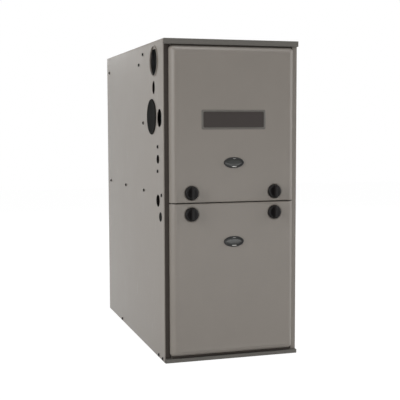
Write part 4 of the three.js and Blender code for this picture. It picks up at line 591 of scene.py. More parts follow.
def circles(profile, axis, centre, sides):
    """A ring of points for each (radius, along) pair, about an axis through centre."""
    u, v = {"x": (centre.y, centre.z), "y": (centre.x, centre.z)}[axis]
    angles = [2 * math.pi * i / sides for i in range(sides)]
    rings = []
    for radius, along in profile:
        radius = max(radius, POLE)
        rings.append([(u + radius * math.cos(a), v + radius * math.sin(a), along) for a in angles])
    return rings


def turned(profile, axis, centre, sides):
    """A solid of revolution with closed ends."""
    return lofted(circles(profile, axis, centre, sides), axis)


def hollow_turned(profile, axis, centre, sides=48):
    """A solid of revolution that is open along its axis: the profile closes on itself."""
    rings = circles(profile, axis, centre, sides)
    return lofted(rings + rings[:1], axis, closed_ends=False)


def rod(axis, centre, low, high, radius, sides):
    """A round bar along an axis."""
    return turned([(radius, low), (radius, high)], axis, centre, sides)


def rounded(u0, u1, v0, v1, radius, steps=6):
    """The points of a rectangle with round corners."""
    points = []
    corners = [(u1 - radius, v0 + radius, -90), (u1 - radius, v1 - radius, 0)]
    corners += [(u0 + radius, v1 - radius, 90), (u0 + radius, v0 + radius, 180)]
    for u, v, begin in corners:
        for i in range(steps + 1):
            angle = math.radians(begin + 90 * i / steps)
            points.append((u + radius * math.cos(angle), v + radius * math.sin(angle)))
    return points


def block(xs, ys, zs, edge=0.0):
    """A box with softened edges."""
    work = bmesh.new()
    bmesh.ops.create_cube(work, size=1)
    size = Vector((xs[1] - xs[0], ys[1] - ys[0], zs[1] - zs[0]))
    middle = Vector((xs[0] + xs[1], ys[0] + ys[1], zs[0] + zs[1])) / 2
    bmesh.ops.scale(work, vec=size, verts=work.verts)
    bmesh.ops.translate(work, vec=middle, verts=work.verts)
    if edge:
        bmesh.ops.bevel(work, geom=work.edges, offset=edge, segments=2, affect="EDGES", profile=0.5)
    return work


def pillow(outline, axis, levels):
    """A slab whose outline shrinks by an inset at each level: levels are (inset, along) pairs."""
    middle = Vector((sum(u for u, v in outline), sum(v for u, v in outline))) / len(outline)
    half = Vector((max(u for u, v in outline), max(v for u, v in outline))) - middle
    rings = []
    for inset, along in levels:
        shrunk_u = 1 - inset / half.x
        shrunk_v = 1 - inset / half.y
        ring = []
        for u, v in outline:
            ring.append((middle.x + (u - middle.x) * shrunk_u, middle.y + (v - middle.y) * shrunk_v, along))
        rings.append(ring)
    return lofted(rings, axis)


def folded(points, thickness, bend, steps=5):
    """A folded sheet's section: the line with rounded bends and, on its left, the same line offset."""
    line = [Vector(points[0])]
    for before, corner, after in zip(points, points[1:], points[2:]):
        corner = Vector(corner)
        back = (Vector(before) - corner).normalized()
        ahead = (Vector(after) - corner).normalized()
        reach = bend / math.tan(back.angle(ahead) / 2)
        centre = corner + (back + ahead).normalized() * (bend / math.sin(back.angle(ahead) / 2))
        first = corner + back * reach - centre
        last = corner + ahead * reach - centre
        sweep = first.angle_signed(last)
        for i in range(steps + 1):
            turn = Matrix.Rotation(-sweep * i / steps, 2)
            line.append(centre + turn @ first)
    line.append(Vector(points[-1]))
    inner = []
    for i, point in enumerate(line):
        ahead = (line[min(i + 1, len(line) - 1)] - line[max(i - 1, 0)]).normalized()
        inner.append(point + Vector((-ahead.y, ahead.x)) * thickness)
    return [tuple(point) for point in line + inner[::-1]]


def pulled(section, axis, low, high):
    """A section pulled along an axis."""
    return lofted([[(u, v, low) for u, v in section], [(u, v, high) for u, v in section]], axis)


FLAT = math.radians(0.5)  # facets that meet at less are one flat face
CORNER = math.radians(40)  # edges that turn by more are softened


def dressed(node, finish, edge, sharp=30):
    """A copy of a CAD node: flat faces whole, curves smooth, edges softened by a width in millimetres."""
    work = bmesh.new()
    work.from_mesh(frame["nodes"][node].data)
    bmesh.ops.remove_doubles(work, verts=work.verts, dist=0.01 * MM)
    bmesh.ops.dissolve_limit(work, angle_limit=FLAT, verts=work.verts, edges=work.edges)
    if edge:
        edges = [e for e in work.edges if len(e.link_faces) == 2 and e.calc_face_angle(0) > CORNER]
        bmesh.ops.bevel(
            work, geom=edges, offset=edge * MM, segments=1, affect="EDGES", clamp_overlap=True, profile=0.5
        )
    bmesh.ops.triangulate(work, faces=[face for face in work.faces if len(face.verts) > 4])
    make_piece(f"{node}_dressed", work, finish, body_named(node), (node,), sharp=sharp)


# ---- Geometry Nodes


def socket_id(tree, name):
    return next(item.identifier for item in tree.interface.items_tree if item.name == name)


class NodeTree:
    """A Geometry Nodes tree with named inputs, built by script."""

    def __init__(self, name, inputs):
        self.tree = bpy.data.node_groups.new(name, "GeometryNodeTree")
        self.tree.interface.new_socket("Geometry", in_out="INPUT", socket_type="NodeSocketGeometry")
        for label, kind in inputs.items():
            self.tree.interface.new_socket(label, in_out="INPUT", socket_type=kind)
        self.tree.interface.new_socket("Geometry", in_out="OUTPUT", socket_type="NodeSocketGeometry")
        self.given = self.tree.nodes.new("NodeGroupInput").outputs

    def add(self, kind, settings=None, **inputs):
        made = self.tree.nodes.new(kind)
        for key, setting in (settings or {}).items():
            setattr(made, key, setting)
        for key, given in inputs.items():
            socket = made.inputs[key.replace("_", " ")]
            if isinstance(given, bpy.types.NodeSocket):
                self.tree.links.new(given, socket)
            else:
                socket.default_value = given
        return made.outputs[0]

    def maths(self, operation, *values):
        """A Math node, whose sockets all have the same name."""
        made = self.tree.nodes.new("ShaderNodeMath")
        made.operation = operation
        for socket, given in zip(made.inputs, values):
            if isinstance(given, bpy.types.NodeSocket):
                self.tree.links.new(given, socket)
            else:
                socket.default_value = given
        return made.outputs[0]

    def joined(self, *parts):
        made = self.tree.nodes.new("GeometryNodeJoinGeometry")
        for part in parts:
            self.tree.links.new(part, made.inputs[0])
        return made.outputs[0]

    def finish(self, geometry):
        whole = self.add("GeometryNodeRealizeInstances", Geometry=geometry)
        painted = self.add("GeometryNodeSetMaterial", Geometry=whole, Material=self.given["Finish"])
        self.tree.links.new(painted, self.tree.nodes.new("NodeGroupOutput").inputs[0])
        return self.tree


def grown(name, seed, tree, values, body, nodes=(), sharp=SHARP, wall=None):
    """Runs a tree on a seed mesh and keeps the result as a plain piece."""
    source = working(f"{name}_seed", seed)
    modifier = source.modifiers.new("grow", "NODES")
    modifier.node_group = tree
    for label, given in values.items():
        modifier[socket_id(tree, label)] = given
    if wall:
        solid = source.modifiers.new("wall", "SOLIDIFY")
        solid.thickness = wall
        solid.offset = -1
    return placed(name, settled(source), body, nodes, sharp)


WASHER_SHEET = 0.8 * MM
HEAD_RISE = 0.6  # how far up the head's middle sits, as a share of its height


def screw_tree():
    """A hexagon washer head on each point, turned to look the way that the point faces."""
    kinds = {
        "Head Radius": "NodeSocketFloat",
        "Head Height": "NodeSocketFloat",
        "Washer Radius": "NodeSocketFloat",
        "Finish": "NodeSocketMaterial",
    }
    nodes = NodeTree("hexagon screws", kinds)
    given = nodes.given
    cylinder = "GeometryNodeMeshCylinder"
    head = nodes.add(cylinder, Vertices=6, Radius=given["Head Radius"], Depth=given["Head Height"])
    lift = nodes.add("ShaderNodeCombineXYZ", Z=nodes.maths("MULTIPLY", given["Head Height"], HEAD_RISE))
    raised = nodes.add("GeometryNodeTransform", Geometry=head, Translation=lift)
    washer = nodes.add(cylinder, Vertices=20, Radius=given["Washer Radius"], Depth=WASHER_SHEET)
    screw = nodes.joined(raised, washer)
    facing = nodes.add("GeometryNodeInputNamedAttribute", {"data_type": "FLOAT_VECTOR"}, Name="facing")
    turn = nodes.add("FunctionNodeAlignRotationToVector", {"axis": "Z"}, Vector=facing)
    points = nodes.add("GeometryNodeMeshToPoints", Mesh=given["Geometry"])
    heads = nodes.add("GeometryNodeInstanceOnPoints", Points=points, Instance=screw, Rotation=turn)
    return nodes.finish(heads)


def ring_tree():
    """Copies of one blade around the X axis."""
    kinds = {
        "Blade": "NodeSocketObject",
        "Count": "NodeSocketInt",
        "Finish": "NodeSocketMaterial",
    }
    nodes = NodeTree("ring of blades", kinds)
    points = nodes.add("GeometryNodePoints", Count=nodes.given["Count"])
    share = nodes.maths("DIVIDE", nodes.add("GeometryNodeInputIndex"), nodes.given["Count"])
    turn = nodes.add("ShaderNodeCombineXYZ", X=nodes.maths("MULTIPLY", share, 2 * math.pi))
    blade = nodes.tree.nodes.new("GeometryNodeObjectInfo")
    nodes.tree.links.new(nodes.given["Blade"], blade.inputs["Object"])
    copies = nodes.add(
        "GeometryNodeInstanceOnPoints", Points=points, Instance=blade.outputs["Geometry"], Rotation=turn
    )
    return nodes.finish(nodes.joined(copies, nodes.given["Geometry"]))


BEND_POINTS = 14  # points around each bend of a pipe
PIPE_SIDES = 36


def pipe_tree():
    """A round tube along a line with its corners bent to a radius."""
    kinds = {
        "Pipe Radius": "NodeSocketFloat",
        "Bend Radius": "NodeSocketFloat",
        "Finish": "NodeSocketMaterial",
    }
    nodes = NodeTree("bent pipe", kinds)
    line = nodes.add("GeometryNodeMeshToCurve", Mesh=nodes.given["Geometry"])
    fillet = nodes.tree.nodes.new("GeometryNodeFilletCurve")
    nodes.tree.links.new(line, fillet.inputs["Curve"])
    nodes.tree.links.new(nodes.given["Bend Radius"], fillet.inputs["Radius"])
    fillet.mode = "POLY"
    fillet.inputs["Count"].default_value = BEND_POINTS
    radius = nodes.given["Pipe Radius"]
    section = nodes.add("GeometryNodeCurvePrimitiveCircle", Resolution=PIPE_SIDES, Radius=radius)
    tube = nodes.add("GeometryNodeCurveToMesh", Curve=fillet.outputs[0], Profile_Curve=section)
    return nodes.finish(tube)


def fin_tree():
    """Copies of the seed fin along a straight row."""
    kinds = {
        "Count": "NodeSocketInt",
        "Pitch": "NodeSocketFloat",
        "Finish": "NodeSocketMaterial",
    }
    nodes = NodeTree("row of fins", kinds)
    offset = nodes.add("ShaderNodeCombineXYZ", Y=nodes.given["Pitch"])
    row = nodes.add("GeometryNodeMeshLine", Count=nodes.given["Count"], Offset=offset)
    points = nodes.add("GeometryNodeMeshToPoints", Mesh=row)
    copies = nodes.add("GeometryNodeInstanceOnPoints", Points=points, Instance=nodes.given["Geometry"])
    return nodes.finish(copies)


TREES = {}


def tree(maker):
    """Each tree is built once."""
    if maker not in TREES:
        TREES[maker] = maker()
    return TREES[maker]


def screws(name, places, body, finish="zinc"):
    """Screw heads at (point, facing) pairs."""
    sizes = bpy.context.scene.furnace_screws
    seed = bmesh.new()
    layer = seed.verts.layers.float_vector.new("facing")
    for point, facing in places:
        vert = seed.verts.new(point)
        vert[layer] = Vector(facing)
    values = {
        "Head Radius": sizes.head,
        "Head Height": sizes.height,
        "Washer Radius": sizes.washer,
        "Finish": FINISH[finish],
    }
    return grown(name, seed, tree(screw_tree), values, body, sharp=25)


def pipe(name, corners, radius, bend, wall, finish, node):
    """A bent tube that stands for a CAD node, open at both ends."""
    seed = bmesh.new()
    line = [seed.verts.new(corner) for corner in corners]
    for first, second in zip(line, line[1:]):
        seed.edges.new((first, second))
    values = {"Pipe Radius": radius, "Bend Radius": bend, "Finish": FINISH[finish]}
    grown(name, seed, tree(pipe_tree), values, body_named(node), (node,), 40, wall)


# ---- The cabinet

BEND = 1.2 * MM
FRONT = span("casing_left")[1][0]  # the casing's front plane


def from_front(y):
    """A depth behind the casing's front plane, given in millimetres."""
    return FRONT + y * MM


# Depths behind the casing's front, heights, radii and widths are in millimetres down to SUNK_HOLE.
OPEN_HOLES = [(91.7, 787, 38), (119, 641, 43), (39, 637, 23.5), (56, 529.5, 11.2)]  # depth, height, radius
LEFT_CAPS = [(57, 420.5, 16, "cap"), (32, 379.7, 12.5, "plug"), (56, 529.5, 11.6, "cap")]
LIFTED = [(96, 718, 17.5)]  # a knock-out that is pressed in at one edge
CRESCENT = 28  # width of the opening beside it
RIGHT_SLITS = [(39, 637, 23.5), (56, 529.5, 11.2), (57, 420.5, 16)]
SLIT = 1.4  # width of the arcs around a closed knock-out
SLIT_TAB = 7  # width of the two tabs that hold it
SIDE_SCREWS = [(217.8, 813.2), (218.5, 624.7), (266.3, 787.5), (692.8, 789.3), (57.1, 561.9), (58.9, 497.8)]
SIDE_SCREWS += [(20.8, 437), (216.7, 437), (451.9, 437), (681.4, 437)]  # depth, height
FOOT_SCREWS = [(18.3, 6), (59.5, 6), (524, 6)]
REAR_SCREWS = [(176, z) for z in (40, 230, 430, 630, 800)]  # distance from the middle, height
SUNK_HOLE = 5.4 * MM  # radius of the hole that a screw sits in below the surface
SUNK = 2.9 * MM
REAR_FLANGE = 16 * MM


def slit_cutter(xs, y, z, radius):
    """The open arcs around a knock-out, parted by a tab above and one below."""
    depth = from_front(y)
    height = z * MM
    gap = math.asin(SLIT_TAB / 2 / radius)
    steps = 20
    cutters = []
    for middle in (0, math.pi):
        angles = [middle - math.pi / 2 + gap + (math.pi - 2 * gap) * i / steps for i in range(steps + 1)]
        outer = [(radius * MM, a) for a in angles]
        inner = [((radius - SLIT) * MM, a) for a in reversed(angles)]
        section = [(depth + r * math.cos(a), height + r * math.sin(a)) for r, a in outer + inner]
        cutters.append(pulled(section, "x", *xs))
    return cutters


def crescent_cutter(xs, y, z, radius):
    """The opening beside a knock-out that is pressed in at one edge."""
    steps = 24
    outer = []
    inner = []
    for i in range(steps + 1):
        angle = -math.pi / 2 + math.pi * i / steps
        depth = from_front(y) + radius * MM * math.cos(angle)
        height = z * MM + radius * MM * math.sin(angle)
        outer.append((depth, height))
        inner.append((depth - CRESCENT * MM * math.cos(angle), height))
    return pulled(outer + inner[-2:0:-1], "x", *xs)


def side_panel(node, side, holes=(), slits=(), lifted=()):
    """A side panel with bent flanges, round openings, knock-outs and the holes of sunk screws."""
    (x0, x1), (y0, y1), (z0, z1) = span(node)
    wide = x1 - x0
    outer = x0 if side < 0 else x1
    section = [(outer - side * REAR_FLANGE, y1), (outer, y1), (outer, y0), (outer - side * wide, y0)]
    profile = folded(section, -side * SHEET, BEND)
    work = pulled(profile, "z", z0, z1)
    across = (outer - 10 * MM, outer + 10 * MM)
    cutters = [
        rod("x", Vector((0, from_front(y), z * MM)), *across, radius * MM, 72) for y, z, radius in holes
    ]
    for x, z in REAR_SCREWS:
        cutters.append(rod("y", Vector((side * x * MM, 0, z * MM)), y1 - 3 * MM, y1 + 1 * MM, SUNK_HOLE, 24))
    if side > 0:
        for y, z in SIDE_SCREWS + FOOT_SCREWS:
            cutters.append(rod("x", Vector((0, from_front(y), z * MM)), *across, SUNK_HOLE, 24))
    for y, z, radius in slits:
        cutters += slit_cutter(across, y, z, radius)
    for y, z, radius in lifted:
        cutters.append(crescent_cutter(across, y, z, radius))
    make_piece(f"{node}_shell", carved(work, cutters), "cabinet", body_named(node), (node,))


# Dark strips on the front flanges beside the doors: painted shade for the shadowed channel between flange and
# door.
SHADE_STRIP = 0.6 * MM  # thickness of the dark strips
SHADE_STRIP_BEHIND = 3 * MM  # how far the dark strips reach behind the doors
SHADE_STRIP_LEFT = 12.6 * MM  # how far they show beside the doors
SHADE_STRIP_RIGHT = 1 * MM


def flange_shade_strips():
    """Dark strips down the front flanges beside the doors: painted shade for the shadowed channel between
    flange and door.
    """
    door_left, door_right = span("lower_door")[0]
    bottom = span("base_rail")[2][1] + SEAT
    top = span("top_rail")[2][0] - SEAT
    depth = (FRONT - SHADE_STRIP, FRONT - SEAT / 2)
    for name, xs in (
        ("left_gasket", (door_left - SHADE_STRIP_LEFT, door_left + SHADE_STRIP_BEHIND)),
        ("right_gasket", (door_right - SHADE_STRIP_BEHIND, door_right + SHADE_STRIP_RIGHT)),
    ):
        make_piece(name, block(xs, depth, (bottom, top), 0.1 * MM), "gasket", "cabinet")


PLUG_INSET = 4.8 * MM  # from the plug's brim to its skirt
PLUG_WALL = 2 * MM
PLUG_DISH = 1.4 * MM  # how deep its middle lies
# The rest of the plug's face: inset from the brim and depth, in millimetres.
PLUG_FORM = [(12, 1.4), (9.4, 1.1), (7.6, 0.25), (6, 0), (3, 0), (1.2, 0.4), (0.2, 1.3)]


def hole_plug():
    """The round plug pressed into the larger pipe hole."""
    (x0, x1), _, (z0, z1) = span("pipe_hole_plug")
    centre = at("pipe_hole_plug")
    radius = (z1 - z0) / 2
    face = span("casing_left")[0][0] - SEAT
    skirt = radius - PLUG_INSET
    inside = skirt - PLUG_WALL
    profile = [(0, x0 + PLUG_DISH)]
    profile += [(radius - inset * MM, x0 + depth * MM) for inset, depth in PLUG_FORM]
    profile += [(radius, face), (skirt, face), (skirt, x1), (inside, x1), (inside, face), (0, face)]
    work = turned(profile, "x", centre, 72)
    make_piece("pipe_hole_plug_cap", work, "plug", "cabinet", ("pipe_hole_plug",))


# A snap-in cap from its middle: share of its radius, and how far it stands out in millimetres.
CAP_FORM = [(0, 0.7), (0.55, 0.7), (0.72, 1.5), (0.9, 1.2), (1, 0.4), (1, 0.1), (0, 0.1)]
# A dark disc behind the lifted knock-out: painted shade for the shadowed space seen through its crescent.
SHADE_DISC_GAP = 0.4 * MM
SHADE_DISC = 3 * MM
SHADE_DISC_RIM = 4 * MM  # how far the dark disc reaches past the knock-out


def hole_caps():
    """Snap-in caps on the small openings of the left side, and a dark disc behind the lifted knock-out:
    painted shade for the shadow seen through its crescent.
    """
    outer = span("casing_left")[0][0]
    for i, (y, z, radius, finish) in enumerate(LEFT_CAPS):
        centre = Vector((0, from_front(y), z * MM))
        profile = [(radius * MM * share, outer - out * MM) for share, out in CAP_FORM]
        work = turned(profile, "x", centre, 48)
        make_piece(f"hole_cap_{i + 1}", work, finish, "cabinet")
    # Behind each lifted knock-out, a dark disc of painted shade.
    for y, z, radius in LIFTED:
        centre = Vector((0, from_front(y), z * MM))
        inside = outer + SHEET + SHADE_DISC_GAP
        shade_disc = rod("x", centre, inside, inside + SHADE_DISC, radius * MM + SHADE_DISC_RIM, 48)
        make_piece("knock_out_backing", shade_disc, "cap", "cabinet")


# The lip's section: how far it lies outside the hole and stands out, in millimetres.
LIP_FORM = [(0.2, 0.1), (0.2, 2.3), (1, 2.8), (2.2, 2.2), (2.2, 0.1)]


def pipe_hole_lip():
    """The rolled lip that stands out around the open pipe hole."""
    outer = span("casing_left")[0][0]
    y, z, radius = OPEN_HOLES[0]
    profile = [((radius + past) * MM, outer - out * MM) for past, out in LIP_FORM]
    lip = hollow_turned(profile, "x", Vector((0, from_front(y), z * MM)), 72)
    make_piece("pipe_hole_lip", lip, "cabinet", "cabinet")


class FURNACE_OT_cabinet(bpy.types.Operator):
    """Make the cabinet's panels and rails, the plug, caps and lip of its openings, and the dark pieces of
    painted shade beside the doors and behind the lifted knock-out
    """

    bl_idname = "furnace.cabinet"
    bl_label = "Cabinet"

    def execute(self, context):
        side_panel("casing_left", -1, holes=OPEN_HOLES, lifted=LIFTED)
        side_panel("casing_right", 1, slits=RIGHT_SLITS)
        hole_plug()
        hole_caps()
        pipe_hole_lip()
        dressed("casing_back", "cabinet", 0.2)
        dressed("top_panel", "cabinet", 0.2)
        for node in ("top_rail", "base_rail"):
            dressed(node, "rail", 0.5)
        for node in ("base_panel", "blower_deck", "vestibule_panel"):
            dressed(node, "zinc", 0.2)
        # The centre rail shows through the seam between the doors; its dark gap finish is painted shade that
        # darkens the seam.
        dressed("centre_rail", "gasket", 0.2)
        flange_shade_strips()
        return {"FINISHED"}


# ---- The doors


def lines(low, high, coarse, fine_spots, fine_reach, fine):
    """Places from low to high: coarse steps with finer ones around the given spots."""
    places = {low, high}
    count = round((high - low) / coarse)
    places.update(low + (high - low) * i / count for i in range(1, count))
    for spot in fine_spots:
        steps = round(fine_reach / fine)
        places.update(spot + fine * i for i in range(-steps, steps + 1))
    kept = []
    for place in sorted(p for p in places if low <= p <= high):
        if not kept or place - kept[-1] > fine * 0.6:
            kept.append(place)
    kept[-1] = high
    return kept


def smooth_step(share):
    """A share from 0 to 1 that starts and ends gently."""
    share = min(max(share, 0.0), 1.0)
    return share * share * (3 - 2 * share)


BEVEL = 1.35  # exponent of the border's section: 1 is round, 2 is a straight slope
BORDER_STEPS = 12
CORNER_STEPS = 8
GRID = 14 * MM  # between the lines of the flat field
GRID_FINE = 1.5 * MM  # between those around the knobs
GRID_REACH = 3 * MM  # how far the fine lines go past a dish
LOWER_HEM = 6.7 * MM  # height that the lower door's skin leaves to its hem
UPPER_HEM = 3.8 * MM
HEM_LAP = 3.4 * MM  # how far the hem runs up behind the skin
HEM_INSET = 5 * MM
HEM_SET_BACK = 4.6 * MM  # behind the front of the rail


class DoorForm:
    """The pressed skin of one door: a sloped border up to a crest, a flat field sunk inside it.

    Where the doors meet there is a plain fold and no border.
    """

    def __init__(self, node, knobs, meets_above):
        self.sizes = bpy.context.scene.furnace_doors
        (self.x0, self.x1), (self.y0, self.y1), (z0, z1) = span(node)
        self.up = 1 if meets_above else -1
        hem = LOWER_HEM if meets_above else UPPER_HEM
        self.far = z0 + hem if meets_above else z1 - hem
        self.near = (z1 if meets_above else z0) - self.up * self.sizes.seam
        self.knobs = [at(knob) for knob in knobs]
        self.spots_x = [knob.x for knob in self.knobs]
        self.spot_z = self.knobs[0].z

    def dish(self, x, z):
        """How far the skin is pressed in at a point."""
        sizes = self.sizes
        away = min(math.hypot(x - spot.x, z - spot.z) for spot in self.knobs)
        return sizes.dish_depth * smooth_step((sizes.dish - away) / sizes.dish_slope)

    def ring(self, inset, near_inset, y, radius):
        """One ring of points around the door, from the far left corner."""
        flat = self.sizes.roll
        xs = self.columns
        zs = self.rows
        x0 = self.x0 + inset + radius
        x1 = self.x1 - inset - radius
        far = self.far + self.up * inset
        start = far + self.up * radius
        end = self.near - self.up * near_inset
        grid_x0, grid_x1 = self.x0 + flat, self.x1 - flat
        grid_far = self.far + self.up * flat

        def to_x(x):
            return x0 + (x - grid_x0) / (grid_x1 - grid_x0) * (x1 - x0)

        def to_z(z):
            return start + (z - grid_far) / (self.near - grid_far) * (end - start)

        points = [(to_x(x), far) for x in xs]
        for i in range(1, CORNER_STEPS):
            angle = math.pi / 2 * i / CORNER_STEPS
            points.append((x1 + radius * math.sin(angle), start - self.up * radius * math.cos(angle)))
        points += [(self.x1 - inset, to_z(z)) for z in zs]
        points += [(to_x(x), end) for x in xs[-2:0:-1]]
        points += [(self.x0 + inset, to_z(z)) for z in reversed(zs)]
        for i in range(CORNER_STEPS - 1, 0, -1):
            angle = math.pi / 2 * i / CORNER_STEPS
            points.append((x0 - radius * math.sin(angle), start - self.up * radius * math.cos(angle)))
        return [Vector((x, y, z)) for x, z in points]

    def skin(self):
        """The skin as a bmesh: rings from the back edge inwards, then the grid of the flat field."""
        sizes = self.sizes
        reach = sizes.dish + GRID_REACH
        left, right = self.x0 + sizes.roll, self.x1 - sizes.roll
        self.columns = lines(left, right, GRID, self.spots_x, reach, GRID_FINE)
        grid_far = self.far + self.up * sizes.roll
        low, high = sorted((grid_far, self.near))
        rows = lines(low, high, GRID, [self.spot_z], reach, GRID_FINE)
        self.rows = rows if self.up > 0 else rows[::-1]
        face = self.y0
        edge = self.y1 - sizes.edge
        rings = [self.ring(sizes.side_return, sizes.end_return, self.y1, 0)]
        rings.append(self.ring(0, 0, self.y1, sizes.corner))
        for i in range(BORDER_STEPS + 1):
            angle = math.pi / 2 * i / BORDER_STEPS
            inset = sizes.crest * (1 - math.cos(angle) ** BEVEL)
            y = edge + (face - edge) * math.sin(angle) ** BEVEL
            rise = max(0.0, sizes.fold - (y - face))
            fold = sizes.fold - math.sqrt(max(0.0, sizes.fold**2 - rise**2))
            rings.append(self.ring(inset, fold, y, sizes.corner * (1 - inset / sizes.roll)))
        inner_steps = BORDER_STEPS // 2
        for i in range(1, inner_steps + 1):
            share = i / inner_steps
            inset = sizes.crest + (sizes.roll - sizes.crest) * share
            y = face + sizes.sink * smooth_step(share)
            fold = sizes.fold + 2 * sizes.seam * share
            rings.append(self.ring(inset, fold, y, sizes.corner * (1 - inset / sizes.roll)))
        work = bmesh.new()
        rows_of_verts = [[work.verts.new(point) for point in ring] for ring in rings]
        count = len(rings[0])
        for outer, inner in zip(rows_of_verts, rows_of_verts[1:]):
            for i in range(count):
                j = (i + 1) % count
                work.faces.new((outer[i], outer[j], inner[j], inner[i]))
        end = self.near - self.up * (sizes.fold + 2 * sizes.seam)
        grid = {}
        for i, x in enumerate(self.columns):
            for j, z in enumerate(self.rows):
                share = (z - grid_far) / (self.near - grid_far)
                height = grid_far + share * (end - grid_far)
                grid[i, j] = work.verts.new((x, face + sizes.sink + self.dish(x, height), height))
        for i in range(len(self.columns) - 1):
            for j in range(len(self.rows) - 1):
                work.faces.new((grid[i, j], grid[i + 1, j], grid[i + 1, j + 1], grid[i, j + 1]))
        bmesh.ops.remove_doubles(work, verts=work.verts, dist=0.02 * MM)
        bmesh.ops.recalc_face_normals(work, faces=work.faces)
        self.face_forward(work)
        return work

    def face_forward(self, work):
        """The largest face that looks along Y tells which way the open skin points."""
        front = max(work.faces, key=lambda face: face.calc_area())
        if front.normal.y > 0:
            bmesh.ops.reverse_faces(work, faces=work.faces)


def door(node, name, knobs, meets_above, hem_node):
    """A door's skin with its thickness and the hem that lies against a rail."""
    form = DoorForm(node, knobs, meets_above)
    skin = working(f"{name}_skin", form.skin())
    solid = skin.modifiers.new("sheet", "SOLIDIFY")
    solid.thickness = form.sizes.sheet
    solid.offset = -1
    work = reopened(settled(skin))
    low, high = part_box(node)
    outer = low.z if meets_above else high.z
    inner = form.far + form.up * HEM_LAP
    across = (form.x0 + HEM_INSET, form.x1 - HEM_INSET)
    depth = (span(hem_node)[1][0] + HEM_SET_BACK, form.y1 - form.sizes.sheet)
    make_piece(name, work, "cabinet", body_named(node), (node,), 40)
    hem = block(across, depth, sorted((outer, inner)), 0.2 * MM)
    # The hem shows in the gap next to the rail and takes the dark gap finish: painted shade for the shadow in
    # that gap.
    make_piece(f"{name}_hem", hem, "gasket", body_named(node), ())


class FURNACE_OT_doors(bpy.types.Operator):
    """Make the two pressed doors and their liners"""

    bl_idname = "furnace.doors"
    bl_label = "Doors"

    def execute(self, context):
        door("upper_door", "upper_door_skin", ("upper_left_knob", "upper_right_knob"), False, "top_rail")
        door("lower_door", "lower_door_skin", ("lower_left_knob", "lower_right_knob"), True, "base_rail")
        for node in ("upper_door_liner", "lower_door_liner"):
            dressed(node, "foil", 1.2)
        return {"FINISHED"}


GRIP_RISE = 12 * MM  # how far the grip stands out of the skirt
SKIRT_DISH = 0.6 * MM
# The rest of the skirt's face: inset from its brim and depth, in millimetres.
SKIRT_FORM = [(7, 0.6), (6, 0), (4, 0), (2, 0.6), (0.7, 2), (0, 4)]
# The head of the grip: inset and depth, in millimetres.
GRIP_FORM = [(1, 3), (1.4, 1.2), (2.1, 0.3), (3, 0)]


def door_knob(node):
    """A quarter-turn knob: round skirt, raised grip, shaft and the cam bar behind the rail."""
    sizes = bpy.context.scene.furnace_knobs
    (x0, x1), (y0, y1), _ = span(node)
    centre = at(node)
    radius = (x1 - x0) / 2
    skirt_front = y0 + GRIP_RISE
    seat = skirt_front + sizes.skirt
    profile = [(0, skirt_front + SKIRT_DISH)]
    profile += [(radius - inset * MM, skirt_front + depth * MM) for inset, depth in SKIRT_FORM]
    profile += [(radius, seat - 0.6 * MM), (radius - 0.5 * MM, seat), (0, seat)]
    skirt = turned(profile, "y", centre, 72)
    half_width = sizes.grip_width / 2
    half_length = sizes.grip_length / 2
    outline = rounded(
        centre.x - half_width, centre.x + half_width, centre.z - half_length, centre.z + half_length, 3.6 * MM
    )
    levels = [(0, seat - 3 * MM), (0.2 * MM, skirt_front)]
    levels += [(inset * MM, y0 + depth * MM) for inset, depth in GRIP_FORM]
    grip = pillow(outline, "y", levels)
    shaft = rod("y", centre, seat - 1 * MM, y1 - 1 * MM, sizes.shaft, 32)
    cam = block(
        (centre.x - sizes.cam_width / 2, centre.x + sizes.cam_width / 2),
        (y1 - sizes.cam_thickness, y1),
        (centre.z - sizes.cam_length / 2, centre.z + sizes.cam_length / 2),
        0.6 * MM,
    )
    work = joined(skirt, grip, shaft, cam)
    make_piece(f"{node}_moulding", work, "knob", body_named(node), (node,))


class FURNACE_OT_door_knobs(bpy.types.Operator):
    """Make the four quarter-turn knobs"""

    bl_idname = "furnace.door_knobs"
    bl_label = "Door knobs"

    def execute(self, context):
        for node in ("upper_left_knob", "upper_right_knob", "lower_left_knob", "lower_right_knob"):
            door_knob(node)
        return {"FINISHED"}


OVAL_STEPS = 64
# Rings of a sight glass: inset from its rim and depth, in millimetres.
BEZEL_FORM = [(0, 2.6), (0, 1.4), (0.5, 0.4), (1.3, 0), (3, 0), (3.9, 0.5), (4.3, 1.8), (4.9, 2), (4.9, 2.6)]
LENS_FORM = [(4.4, 2.6), (4.4, 1.7), (6, 1.4), (9, 1.25)]
GLINT_TAB = 1.4 * MM  # half the height of a pale tab, painted highlight for a glint


def oval(node, inset, y):
    """A ring of points inside a sight glass's outline."""
    (x0, x1), _, (z0, z1) = span(node)
    centre = at(node)
    angles = [2 * math.pi * i / OVAL_STEPS for i in range(OVAL_STEPS)]
    wide = (x1 - x0) / 2 - inset
    high = (z1 - z0) / 2 - inset
    return [(centre.x + wide * math.cos(a), centre.z + high * math.sin(a), y) for a in angles]


